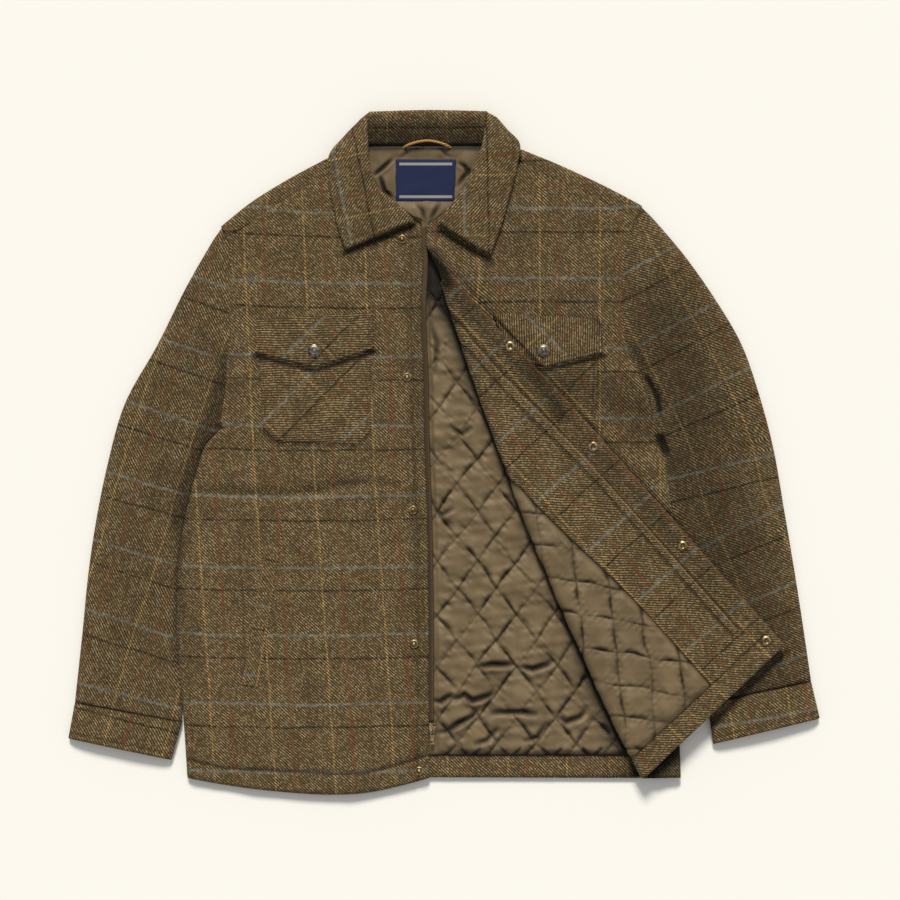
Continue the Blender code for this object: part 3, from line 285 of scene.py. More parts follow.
def chain(first, second, split):
    """Two curves end to end, the first taking the share `split`."""
    def at(share):
        share = np.asarray(share, dtype=float)
        early, late = np.clip(share / split, 0.0, 1.0), np.clip((share - split) / (1.0 - split), 0.0, 1.0)
        return np.where((share < split)[..., None], first(early), second(late))
    return at


def part_of(curve, start, end):
    return lambda share: curve(start + (end - start) * np.asarray(share, dtype=float))


def patch(foot, top, left, right):
    """The plan between four edges: u runs from left to right, v from foot to top."""
    def at(u, v):
        a, b = u[..., None], v[..., None]
        corners = ((1 - a) * (1 - b) * foot(0.0) + a * (1 - b) * foot(1.0)
                   + (1 - a) * b * top(0.0) + a * b * top(1.0))
        return (1 - b) * foot(u) + b * top(u) + (1 - a) * left(v) + a * right(v) - corners
    return at


def even_grid(columns, rows):
    return np.meshgrid(np.linspace(0.0, 1.0, columns), np.linspace(0.0, 1.0, rows))


def four_sided(corners, columns, rows):
    """An even grid between straight edges: corners at the foot from left to right, then at the top."""
    corners = np.array(corners)
    u, v = even_grid(columns, rows)
    return patch(line(corners[:2]), line(corners[2:]), line(corners[::2]), line(corners[1::2]))(u, v)


def steps(*stretches):
    """Shares from a table of (end, count): each stretch goes on from the last one."""
    marks, start = [0.0], 0.0
    for end, count in stretches:
        marks += list(np.linspace(start, end, count + 1)[1:])
        start = end
    return np.array(marks)


def round_off(distance, reach, drop):
    """How far a top falls near a rounded edge."""
    inside = np.clip(1.0 - distance / reach, 0.0, 1.0)
    return drop * (1.0 - np.sqrt(1.0 - inside * inside))


def ripples(x, y, length, seed):
    """Soft uneven waves of about that length, from -1 to 1."""
    draw = np.random.default_rng(seed)
    total = 0.0
    for turn, scale, phase in draw.uniform((0.0, 0.6, 0.0), (math.tau, 1.7, math.tau), (9, 3)):
        total = total + np.sin(math.tau * (x * math.cos(turn) + y * math.sin(turn)) / (length * scale) + phase)
    return total / 4.0


def beside(x, y, points):
    """Distance from a run of points, which side it is on, and the share along it."""
    points = np.array(points, dtype=float)
    lengths = np.linalg.norm(np.diff(points, axis=0), axis=1)
    starts = np.concatenate(([0.0], np.cumsum(lengths)))
    best = np.full(np.shape(x), 1e9)
    side, along = np.zeros(np.shape(x)), np.zeros(np.shape(x))
    for i, length in enumerate(lengths):
        run = (points[i + 1] - points[i]) / length
        dx, dy = x - points[i, 0], y - points[i, 1]
        share = np.clip(dx * run[0] + dy * run[1], 0.0, length)
        away = np.hypot(dx - share * run[0], dy - share * run[1])
        nearer = away < best
        best = np.where(nearer, away, best)
        side = np.where(nearer, np.sign(run[0] * dy - run[1] * dx), side)
        along = np.where(nearer, (starts[i] + share) / starts[-1], along)
    return best, side, along


def creased(x, y, creases):
    """Troughs with a lip on one side, fading at their ends."""
    rise = np.zeros(np.shape(x))
    for crease in creases:
        away, side, along = beside(x, y, crease.points)
        ends = np.sin(math.pi * np.clip(along, 0.0, 1.0)) ** 0.6
        lip = bell(away * side + 1.9 * crease.width, crease.width)
        rise += ends * (crease.lip * lip - crease.depth * bell(away, crease.width))
    return rise


def grain(x, y, turn=0.0, across=0.0, along=0.0):
    """Places on the cloth for points of the plan, the cloth turned by degrees and moved."""
    c, s = math.cos(math.radians(turn)), math.sin(math.radians(turn))
    return np.stack((x * c + y * s + across, -x * s + y * c + along), axis=-1)


def put(name, data):
    """A new object in the scene, at the origin."""
    obj = bpy.data.objects.new(name, data)
    bpy.context.scene.collection.objects.link(obj)
    return obj


def new_piece(name, points, faces, places, painted_shade_and_patina, finish):
    """A mesh in metres with its places on the cloth and its painted shade (patina on metal), shaded smooth."""
    points = np.array(points, dtype=float)
    points[:, :2] -= CENTRE
    mesh = bpy.data.meshes.new(name)
    mesh.from_pydata((points * MM).tolist(), [], [list(face) for face in faces])
    mesh.attributes.new("cloth", "FLOAT_VECTOR", "POINT").data.foreach_set(
        "vector", np.column_stack((places, np.zeros(len(points)))).astype(np.float32).ravel())
    mesh.attributes.new("painted_shade_and_patina", "FLOAT", "POINT").data.foreach_set("value", np.asarray(painted_shade_and_patina, np.float32))
    bm = bmesh.new()
    bm.from_mesh(mesh)
    bmesh.ops.recalc_face_normals(bm, faces=bm.faces)
    bm.to_mesh(mesh)
    bm.free()
    mesh.shade_smooth()
    mesh.materials.append(finish)
    return put(name, mesh)


def declare(obj, slot, *nodes, body=JACKET):
    """Puts a piece on the body that carries it and hides the solids it stands for; the slot is not used."""
    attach(obj, body)
    if nodes:
        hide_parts(*nodes)
    return obj


def cut_area(places):
    """Area of a grid of places on the cloth, in square metres."""
    a, b = places[1:, 1:] - places[:-1, :-1], places[1:, :-1] - places[:-1, 1:]
    return float(np.abs(a[..., 0] * b[..., 1] - a[..., 1] * b[..., 0]).sum()) / 2.0 * MM * MM


# Painted shade, darker colour laid where cloth lies deep or under an edge: points, half width, strength and
# the pieces it is on.
Shade = namedtuple("Shade", "points width strength nodes")
SHADES = (
    Shade(((-242.8, 516.0), (-267.2, 436.8), (-285.5, 388.0), (-300.1, 266.0), (-303.8, 144.0)), 8.0, 0.4,
          ("right_front", "right_top_sleeve")),
    Shade(((-240.0, 512.0), (-249.0, 462.0), (-268.0, 412.0), (-288.0, 365.0), (-300.0, 310.0)), 17.0, 0.66,
          ("right_top_sleeve",)),
    Shade(((-254.0, 431.0), (-247.0, 428.0)), 2.8, 1.2, ("right_front", "right_top_sleeve")),
    Shade(((42.0, 614.0), (108.0, 539.0), (241.0, 389.0), (374.0, 239.0)), 2.4, 0.75,
          ("left_front", "left_pocket", "left_pocket_flap", "left_top_sleeve")),
    Shade(((129.0, 504.0), (151.0, 471.0), (166.0, 444.0)), 13.0, 0.7, ("left_facing",)),
    Shade(((9.0, 60.0), (7.0, 300.0), (4.0, 570.0)), 9.0, 0.45, ("zip_right",)),
    Shade(((8.0, 641.0), (18.0, 625.0), (28.0, 612.0)), 7.0, 1.2, ("left_front",)),
    Shade(((20.0, 622.0), (29.0, 604.0)), 10.0, 1.0, ("left_facing",)),
    Shade(((257.0, 526.0), (268.0, 505.0)), 8.0, 0.75, ("left_front", "left_top_sleeve")),
    Shade(((60.0, 640.0), (150.0, 590.0), (220.0, 560.0)), 80.0, 0.1, ("left_front",)),
    Shade(((272.0, 489.0), (285.0, 466.0), (288.0, 447.0)), 3.6, 1.5, ("left_front", "left_top_sleeve")),
    Shade(((288.0, 416.0), (295.0, 399.0)), 5.6, 1.7, ("left_front", "left_top_sleeve")),
    Shade(((296.0, 405.0), (302.0, 385.0), (312.0, 330.0), (318.0, 270.0)), 5.0, 0.5,
          ("left_front", "left_top_sleeve")),
    *(Shade(((x - 11.0, 36.0), (x, 25.0), (x + 11.0, 36.0)), 2.4, 0.9,
          ("back_lining",)) for x in (57.0, 106.0, 156.0, 205.0)),
    Shade(((110.0, 500.0), (166.0, 480.0), (226.9, 467.3), (275.7, 436.8)), 30.0, 0.46,
          ("left_front", "left_pocket")),
    Shade(((40.0, 600.0), (105.0, 523.0), (166.0, 449.0)), 24.0, 0.42, ("left_facing",)),
    Shade(((166.0, 449.0), (263.5, 339.0), (370.0, 210.0)), 24.0, 0.32, ("left_facing",)),
    Shade(((290.0, 560.0), (315.0, 470.0), (335.0, 375.0), (370.0, 260.0), (405.0, 120.0)), 64.0, 0.57,
          ("left_top_sleeve",)),
    Shade(((-290.0, 560.0), (-320.0, 420.0), (-345.0, 300.0), (-370.0, 130.0)), 60.0, 0.16, ("right_top_sleeve",)),
    Shade(((150.0, 400.0), (260.0, 250.0), (350.0, 140.0)), 70.0, 0.08, ("left_lining",)),
    Shade(((265.0, 2.0), (290.0, 26.0), (314.0, 52.0)), 26.0, 1.1, ("left_front", "back_hem")),
    Shade(((349.0, 62.0), (380.0, 93.0), (412.0, 126.0), (443.0, 154.0)), 4.5, 0.85,
          ("left_top_sleeve", "left_cuff_top")),
    Shade(FRONT_CREASES[0].points, 4.6, 0.4, ("right_front",)),
    Shade(((-97.0, 641.0), (-55.0, 657.5), (-12.0, 675.0)), 3.8, 1.0, ("right_front",)),
    Shade(((18.8, 667.0), (50.0, 649.0), (82.0, 630.0)), 3.8, 1.0, ("left_front",)),
    Shade(((-207.0, 515.5), (-133.6, 497.0), (-60.0, 520.5)), 3.4, 1.1, ("right_pocket", "right_front")),
    Shade(((104.0, 510.5), (145.6, 497.0), (219.0, 515.0)), 3.6, 1.1, ("left_pocket", "left_front")),
    Shade(((-197.0, 425.0), (-182.0, 408.5), (-82.0, 405.5), (-64.0, 420.5)), 2.0, 0.7, ("right_front",)),
    Shade(((147.0, 407.5), (193.0, 408.5), (209.0, 425.5)), 2.0, 0.7, ("left_front",)),
    Shade(((-6.0, 20.0), (-8.0, 300.0), (-10.0, 640.0)), 13.0, 0.2, ("right_front",)),
    Shade(((-60.0, 776.0), (5.0, 775.0), (66.0, 776.0)), 24.0, 0.76, ("collar_stand",)),
)


def shaded(node, x, y):
    total = np.zeros(np.shape(x))
    for shade in SHADES:
        if node in shade.nodes:
            away = beside(x, y, shade.points)[0]
            total = np.maximum(total, shade.strength * bell(away, shade.width))
    return total


def shell(node, top, under, places, finish, slot, rests_on, bulge=0.8, painted_shade_and_patina=None, cut=None):
    """A closed piece of cloth between two grids of points, with a rounded rim."""
    rows, columns = top.shape[:2]
    count = rows * columns
    number = np.arange(count).reshape(rows, columns)
    quads = np.stack((number[:-1, :-1], number[:-1, 1:], number[1:, 1:], number[1:, :-1]), axis=-1).reshape(-1, 4)
    loop = np.concatenate((number[0], number[1:, -1], number[-1, -2::-1], number[-2:0:-1, 0]))
    row, column = np.unravel_index(loop, (rows, columns))
    inner = number[np.clip(row, 1, rows - 2), np.clip(column, 1, columns - 2)]
    uppers, spots = top.reshape(-1, 3), places.reshape(-1, 2)
    painted_shade_and_patina = np.zeros(count) if painted_shade_and_patina is None else np.ravel(painted_shade_and_patina)
    # painted shade from SHADES is added to the piece's own
    painted_shade_and_patina = np.clip(painted_shade_and_patina + shaded(node, uppers[:, 0], uppers[:, 1]), 0.0, 1.0)
    if np.isscalar(under):      # a flat underside is one face
        lowers = np.column_stack((uppers[loop, :2], np.full(len(loop), under)))
        low_loop, low_from = count + np.arange(len(loop)), loop
        low_faces = [low_loop[::-1].tolist()]
    else:
        lowers, low_loop, low_from = under.reshape(-1, 3), count + loop, np.arange(count)
        low_faces = (quads[:, ::-1] + count).tolist()
    out = uppers[loop] - uppers[inner]
    out[:, 2] = 0.0
    out /= np.maximum(np.linalg.norm(out, axis=1, keepdims=True), 1e-6)
    feet = lowers[low_loop - count]
    wall = np.linalg.norm(uppers[loop] - feet, axis=1, keepdims=True)
    rim_points = (uppers[loop] + feet) / 2.0 + out * bulge
    away = spots[loop] - spots[inner]
    rim_places = spots[loop] + away / np.maximum(np.linalg.norm(away, axis=1, keepdims=True), 1e-6) * wall / 2.0
    rim = count + len(lowers) + np.arange(len(loop))
    after, low_after, rim_after = np.roll(loop, -1), np.roll(low_loop, -1), np.roll(rim, -1)
    faces = np.concatenate((quads, np.stack((loop, rim, rim_after, after), axis=-1),
                            np.stack((rim, low_loop, low_after, rim_after), axis=-1))).tolist() + low_faces
    obj = new_piece(node + "_cloth", np.concatenate((uppers, lowers, rim_points)), faces,
                    np.concatenate((spots, spots[low_from], rim_places)),
                    np.concatenate((painted_shade_and_patina, painted_shade_and_patina[low_from], painted_shade_and_patina[loop])), finish)
    declare(obj, slot, node)
    cut = places if cut is None else cut
    size = np.ptp(cut.reshape(-1, 2), axis=0) * MM
    min(max(cut_area(cut), 0.3 * size[0] * size[1]), float(size[0] * size[1]))
    return obj


def slab(node, outline, low, high, finish, slot, turn=0.0, soft=1.0):
    """A flat piece of cloth with a rounded rim, from its outline."""
    outline = np.array([tuple(point) for point in outline], dtype=float)
    count = len(outline)
    run = np.roll(outline, -1, axis=0) - np.roll(outline, 1, axis=0)
    run /= np.linalg.norm(run, axis=1, keepdims=True)
    signed = np.sum(outline[:, 0] * np.roll(outline[:, 1], -1) - outline[:, 1] * np.roll(outline[:, 0], -1))
    inward = np.stack((-run[:, 1], run[:, 0]), axis=1) * np.sign(signed)
    rings = ((low, 0.5), (low + soft, 0.0), (high - soft, 0.0), (high - 0.3 * soft, 0.3 * soft), (high, soft))
    points = np.concatenate([np.column_stack((outline + inward * inset, np.full(count, height)))
                             for height, inset in rings])
    ring = np.arange(count)
    faces = [list(ring[::-1]), list(ring + count * (len(rings) - 1))]
    for k in range(len(rings) - 1):
        a = ring + count * k
        b = np.roll(ring, -1) + count * k
        faces += np.stack((a, b, b + count, a + count), axis=-1).tolist()
    places = grain(points[:, 0], points[:, 1], turn)
    obj = new_piece(node + "_cloth", points, faces, places, np.zeros(len(points)), finish)
    declare(obj, slot, node)
    return obj


# Materials.

class Wire:
    """A socket in a material's nodes. Sums and products of wires add Math nodes."""

    def __init__(self, tree, socket=None):
        self.tree, self.socket = tree, socket

    def node(self, kind, inputs=(), output=0, **settings):
        made = self.tree.nodes.new("ShaderNode" + kind)
        for key, value in settings.items():
            setattr(made, key, value)
        for key, value in dict(inputs).items():
            if isinstance(value, Wire):
                self.tree.links.new(value.socket, made.inputs[key])
            else:
                made.inputs[key].default_value = value
        return Wire(self.tree, made.outputs[output])

    def math(self, operation, *values):
        """A Math node whose first value is this one."""
        return self.node("Math", enumerate((self, *values)), operation=operation)

    def __add__(self, other):
        return self.math("ADD", other)

    def __sub__(self, other):
        return self.math("SUBTRACT", other)

    def __rsub__(self, other):
        return self.node("Math", {0: other, 1: self}, operation="SUBTRACT")

    def __mul__(self, other):
        return self.math("MULTIPLY", other)

    def __truediv__(self, other):
        return self.math("DIVIDE", other)

    __radd__ = __add__
    __rmul__ = __mul__

    def wave(self, length=1.0):
        """A sine along this coordinate."""
        return (self * (math.tau / length)).math("SINE")

    def fade(self, start, end):
        """0 before start and 1 after end, or the other way round."""
        return self.node("MapRange", {0: self, 1: start, 2: end}, interpolation_type="SMOOTHSTEP")

    def tint(self, colour, over):
        """`over`, with a colour laid on it as far as this mask says."""
        return self.node("Mix", {0: self, 6: over, 7: colour}, output=2, data_type="RGBA")

    def lines(self, spacing, start, width):
        """A mask of lines along this coordinate."""
        away = (((self - start) / spacing + 0.5).math("FRACT") - 0.5).math("ABSOLUTE") * spacing
        return away.fade(width * 0.62, width * 0.3)

    def cloth(self):
        """Places on the cloth, in millimetres."""
        return self.node("Attribute", output=1, attribute_name="cloth")

    def painted_shade_and_patina(self):
        """Painted shade where cloth is pinched or lies in shade, and patina where metal is aged."""
        return self.node("Attribute", output=2, attribute_name="painted_shade_and_patina")

    def inside(self):
        """Places in the object, in metres."""
        return self.node("TexCoord", output=3)

    def split(self):
        """Across and along, from places on the cloth."""
        across = self.node("SeparateXYZ", {0: self})
        return across, Wire(self.tree, across.socket.node.outputs[1])

    def noise(self, scale, detail, **more):
        return self.node("TexNoise", {"Vector": self, "Scale": scale, "Detail": detail, **more})

    def bump(self, strength, distance):
        """A normal from this height."""
        return self.node("Bump", {"Height": self, "Strength": strength, "Distance": distance})


def paint(red, green, blue):
    """A colour as seen on a screen, as Blender's own values."""
    values = [c / 255.0 for c in (red, green, blue)]
    return (*[c / 12.92 if c <= 0.04045 else ((c + 0.055) / 1.055) ** 2.4 for c in values], 1.0)


def new_finish(name, **shader_values):
    """A material, its first wire and its shader, with values that are the same all over."""
    material = bpy.data.materials.new(name)
    material.use_nodes = True
    shader = material.node_tree.nodes["Principled BSDF"]
    for key, value in shader_values.items():
        shader.inputs[key.replace("_", " ")].default_value = value
    return material, Wire(material.node_tree), shader


def connect(wires, shader, **values):
    for key, wire in values.items():
        wires.tree.links.new(wire.socket, shader.inputs[key.replace("_", " ")])


TWILL_TURN = math.radians(44.5)   # slope of the twill's lines, falling to the right
TWILL_PITCH = 2.86                # between two of them
FLOAT_LENGTH = 2.1                # of a yarn over the twill's lines
GOLD_LINES = (73.2, -117.6, 2.4)  # spacing, place and width on the cloth
RUST_LINES = (73.2, -93.4, 3.8)
BROWN_LINES = (73.2, -69.4, 3.4)
BLUE_LINES = (85.4, 13.5, 3.8)
DARK_LINES = (85.4, -15.5, 2.9)
# Colours of the odd yarns: middle and half width of their share of all floats, and strength.
HEATHER = (((118, 70, 40), 0.06, 0.06, 0.42), ((80, 86, 56), 0.22, 0.1, 0.36), ((98, 100, 90), 0.37, 0.05, 0.34),
           ((160, 124, 66), 0.48, 0.06, 0.34), ((34, 28, 17), 0.62, 0.08, 0.5))


def make_tweed(name):
    """Olive-brown wool twill with heather flecks and a windowpane check."""
    material, w, shader = new_finish(name, Sheen_Weight=0.06, Sheen_Roughness=0.5, Specular_IOR_Level=0.1)
    place = w.cloth()
    sway = (place.noise(0.018, 1.0) - 0.5) * 4.0
    across, along = [part + sway for part in place.split()]
    fleck = place.noise(0.55, 2.0, Roughness=0.75)
    slub, cloud, fuzz = place.noise(0.35, 1.0), place.noise(0.03, 3.0), place.noise(0.85, 1.0)
    phase = (across * math.sin(TWILL_TURN) + along * math.cos(TWILL_TURN)) / TWILL_PITCH + (slub - 0.5) * 0.6
    row = phase.math("FLOOR")
    reach = (across * math.cos(TWILL_TURN) - along * math.sin(TWILL_TURN)) / FLOAT_LENGTH + row * 0.37
    cell = w.node("CombineXYZ", {0: row, 1: reach.math("FLOOR")})
    chance = w.node("TexWhiteNoise", {"Vector": cell}, noise_dimensions="2D")
    pick = w.node("SeparateColor", {0: Wire(w.tree, chance.socket.node.outputs[1])})
    over, ply = phase.wave().fade(-0.6, 0.8), reach.wave()
    under = 1.0 - over
    dark = fleck.fade(0.35, 0.68).tint(paint(67, 50, 24), paint(25, 16, 5))
    light = chance.tint(paint(190, 165, 121), paint(122, 99, 62))
    colour = (over * (0.66 + 0.14 * ply + 0.2 * fleck.fade(0.35, 0.65))).tint(light, dark)
    colour = (fuzz.fade(0.46, 0.28) * 0.3).tint(paint(174, 154, 116), colour)
    colour = (fuzz.fade(0.5, 0.72) * 0.5).tint(paint(38, 28, 11), colour)
    for yarn, middle, half, strength in HEATHER:
        colour = (pick.math("COMPARE", middle, half) * (0.25 + 0.75 * over) * strength).tint(paint(*yarn), colour)
    colour = (cloud.fade(0.36, 0.7) * 0.3).tint(paint(56, 44, 26), colour)
    worn = place.noise(0.09, 2.0).fade(0.3, 0.62) * 0.55 + 0.45
    broken = (0.4 + 0.6 * chance) * worn
    colour = (along.lines(*DARK_LINES) * (0.6 + 0.4 * under) * 0.95 * worn).tint(paint(17, 20, 12), colour)
    colour = (across.lines(*BROWN_LINES) * 0.3 * worn).tint(paint(70, 44, 24), colour)
    colour = (across.lines(*RUST_LINES) * (0.3 + 0.7 * over) * 0.8 * broken).tint(paint(122, 64, 34), colour)
    colour = (along.lines(*BLUE_LINES) * (0.2 + 0.8 * under) * 0.62 * broken).tint(paint(116, 136, 134), colour)
    colour = (across.lines(*GOLD_LINES) * (0.05 + 0.95 * over) * 0.85 * broken).tint(paint(206, 162, 92), colour)
    # painted shade: the cloth's colour darkened in creases, stitch grooves, seams and under edges
    colour = (w.painted_shade_and_patina() * 0.92).tint(paint(12, 10, 6), colour)
    bump = (over * 0.7 + ply * 0.15 + fleck * 0.5).bump(0.6, 0.0006)
    connect(w, shader, Base_Color=colour, Normal=bump, Roughness=0.86 + fleck * 0.12)
    return material


def make_lining():
    """Taupe satin over padding, with painted shade where the quilting pinches it, below its puffs and where it lies
    deep.
    """
    material, w, shader = new_finish("quilted_satin", Sheen_Weight=0.04, Sheen_Roughness=0.4, Specular_IOR_Level=0.24)
    place, painted_shade_and_patina = w.cloth(), w.painted_shade_and_patina()
    cloud, fine = place.noise(0.03, 3.0), place.noise(0.1, 4.0, Roughness=0.65)
    across, along = place.split()
    weave = across.wave(0.62) * along.wave(0.55)
    colour = cloud.fade(0.32, 0.7).tint(paint(121, 102, 72), paint(103, 86, 59))
    colour = (fine.fade(0.5, 0.75) * 0.2).tint(paint(132, 112, 80), colour)
    # painted shade: the satin's colour darkened in stitch valleys, below puffs and where it lies deep
    colour = (painted_shade_and_patina * 0.95).tint(paint(17, 13, 8), colour)
    bump = (fine + weave * 0.05).bump(0.22, 0.0014)
    connect(w, shader, Base_Color=colour, Normal=bump, Roughness=0.44 + fine * 0.16 + painted_shade_and_patina * 0.3)
    return material


def make_thread(name, colour):
    """Twisted sewing thread."""
    material, w, shader = new_finish(name, Sheen_Weight=0.1, Specular_IOR_Level=0.3)
    twist = w.inside().noise(1400.0, 1.0)
    shades = twist.fade(0.3, 0.7).tint(paint(*colour), paint(*[int(c * 0.62) for c in colour]))
    connect(w, shader, Base_Color=shades, Roughness=0.6 + twist * 0.3)
    return material


def make_tape():
    """Woven zip tape in ribs across its length."""
    material, w, shader = new_finish("zip_tape", Specular_IOR_Level=0.2)
    place = w.cloth()
    rib, noise = place.split()[1].wave(1.1), place.noise(0.8, 2.0)
    colour = rib.fade(-0.8, 0.8).tint(paint(98, 80, 53), paint(50, 40, 25))
    colour = (noise.fade(0.45, 0.7) * 0.4).tint(paint(92, 74, 48), colour)
    # painted shadow where the tape lies beside and under the front's edge
    colour = (w.painted_shade_and_patina() * 0.9).tint(paint(14, 11, 7), colour)
    connect(w, shader, Base_Color=colour, Normal=rib.bump(0.4, 0.0003), Roughness=0.75 + noise * 0.2)
    return material


def make_metal(name, worn, aged, roughness):
    """Plated metal, dark where it has aged and bright where it is rubbed."""
    material, w, shader = new_finish(name, Metallic=1.0)
    place = w.inside()
    stain, scratch = place.noise(260.0, 4.0, Roughness=0.6), place.noise(1500.0, 2.0)
    rubbed = (stain.fade(0.3, 0.65) + scratch.fade(0.5, 0.8) * 0.3) * (1.0 - w.painted_shade_and_patina() * 0.85)
    colour = rubbed.math("MINIMUM", 1.0).tint(paint(*worn), paint(*aged))
    connect(w, shader, Base_Color=colour, Normal=scratch.bump(0.15, 0.0002), Roughness=roughness + stain * 0.22)
    return material


LABEL_BARS = (5.6, 45.6)        # heights of the label's two pale woven bars over its foot
LABEL_BAR_HALF = 1.9
LABEL_BAR_ENDS = (4.5, 69.0)
BAR_SOFTNESS = (0.6, 0.5)       # of their ends and their sides


def make_label():
    """Bare navy damask with a pale bar woven near its top and foot."""
    material, w, shader = new_finish("navy_label", Specular_IOR_Level=0.3)
    place = w.cloth()
    across, along = place.split()
    weft, warp, fine = along.wave(0.7), across.wave(0.5), place.noise(0.5, 3.0)
    colour = (fine.fade(0.35, 0.7) * 0.7 + weft.fade(-1.0, 1.0) * 0.3).tint(paint(16, 34, 78), paint(5, 13, 46))
    start, end = LABEL_BAR_ENDS
    ends = across.fade(start, start + BAR_SOFTNESS[0]) * across.fade(end + BAR_SOFTNESS[0], end)
    for bar in LABEL_BARS:
        mask = (along - bar).math("ABSOLUTE").fade(LABEL_BAR_HALF, LABEL_BAR_HALF - BAR_SOFTNESS[1]) * ends
        colour = (mask * (0.72 + weft * 0.14)).tint(paint(172, 166, 160), colour)
    bump = (weft * 0.7 + warp * 0.3).bump(0.35, 0.0002)
    connect(w, shader, Base_Color=colour, Normal=bump, Roughness=0.55 + fine * 0.2)
    return material


def make_cord():
    """Twisted gold cord."""
    material, w, shader = new_finish("gold_cord", Sheen_Weight=0.2, Specular_IOR_Level=0.4)
    fibre = w.inside().noise(1800.0, 2.0)
    colour = fibre.fade(0.3, 0.7).tint(paint(222, 170, 84), paint(186, 132, 56))
    # painted shade in the grooves between the cord's strands
    colour = (w.painted_shade_and_patina() * 0.85).tint(paint(92, 58, 20), colour)
    connect(w, shader, Base_Color=colour, Roughness=0.45 + fibre * 0.25)
    return material


TWEED, BAND = make_tweed("wool_tweed"), make_tweed("brushed_zip_tape")
LINING, TAPE, NAVY, GOLD = make_lining(), make_tape(), make_label(), make_cord()
BROWN_THREAD = make_thread("brown_thread", (112, 88, 52))
TAUPE_THREAD = make_thread("taupe_thread", (108, 94, 70))
COIL_THREAD = make_thread("zip_coil", (176, 142, 96))
TOOTH_THREAD = make_thread("zip_teeth", (124, 98, 64))
TAN_THREAD = make_thread("tan_thread", (168, 124, 62))
NAVY_THREAD = make_thread("navy_thread", (38, 52, 108))
BRASS = make_metal("antique_brass", (200, 176, 126), (84, 66, 40), 0.26)
PEWTER = make_metal("antique_pewter", (156, 148, 128), (46, 42, 33), 0.26)

SIDE_SPREAD = {205.0: 9.0, 272.0: 15.5, 333.0: 11.0, 370.0: 8.0, 406.0: 4.5}   # of the left front, to its sleeve
right_side = line([(row.right_side, row.height) for row in BODY_ROWS])
left_side = line([(row.left_side, row.height) for row in BODY_ROWS])
left_front_side = line([(row.left_side + SIDE_SPREAD.get(row.height, 0.0), row.height) for row in BODY_ROWS])
right_edge = line([(row.right_edge, row.height) for row in BODY_ROWS] + list(RIGHT_EDGE_TOP))
right_armhole, left_armhole = line(RIGHT_ARMHOLE), line(LEFT_ARMHOLE)
right_shoulder, left_shoulder = line(RIGHT_SHOULDER), line(LEFT_SHOULDER)


def right_edge_x(height):
    rows = [(row.height, row.right_edge) for row in BODY_ROWS] + [(y, x) for x, y in RIGHT_EDGE_TOP]
    return np.interp(height, [y for y, x in rows], [x for y, x in rows])


def left_edge_x(height):
    return LEFT_EDGE_FOOT - LEFT_EDGE_SLOPE * height


def lifted(plan, height):
    """Points of a plan with their heights."""
    return np.concatenate((plan, np.broadcast_to(height, plan.shape[:-1])[..., None]), axis=-1)


def edge_away(plan, edge):
    """Distance of each point of a grid from the grid's own edge."""
    ends = {"left": plan[:, :1], "right": plan[:, -1:], "foot": plan[:1], "top": plan[-1:]}
    return np.linalg.norm(plan - ends[edge], axis=-1)


# Heights of the pale blue lines on the right front, whose grain leans and sags a little.
FRONT_BLUES = (13.5, 96.4, 180.5, 262.8, 349.9, 435.3, 520.6, 611.0)
FRONT_LEAN = 2.5                # degrees of the gold lines, and more below the crease
LOW_LEAN = (389.0, 0.024)
FRONT_MIDDLE = -120.0
FRONT_TILT = ((350.0, 620.0), (0.007, -0.022))
FRONT_SAG = (3.0, 150.0)


def front_places(x, y):
    places = grain(x, y, FRONT_LEAN)
    places[..., 0] -= LOW_LEAN[1] * np.maximum(LOW_LEAN[0] - y, 0.0)
    sag = FRONT_SAG[0] * (0.5 - ((x - FRONT_MIDDLE) / FRONT_SAG[1]) ** 2)
    along = y + 5.2 - (x - FRONT_MIDDLE) * np.interp(y, *FRONT_TILT) + sag
    spacing, first, width = BLUE_LINES
    known = np.array((FRONT_BLUES[0] - spacing, *FRONT_BLUES, FRONT_BLUES[-1] + 2.0 * spacing))
    even = first + spacing * np.array((-1, *range(len(FRONT_BLUES)), len(FRONT_BLUES) + 1))
    places[..., 1] = np.interp(along, known, even)
    return places


HEM_STITCH = ((-288.4, 22.0), (-245.2, 12.2), (-179.3, 7.8), (-108.0, 4.9), (-70.8, 6.1), (-30.5, 15.9), (3.7, 28.0))
EDGE_STITCH = 13.0              # from the front edge to its topstitching


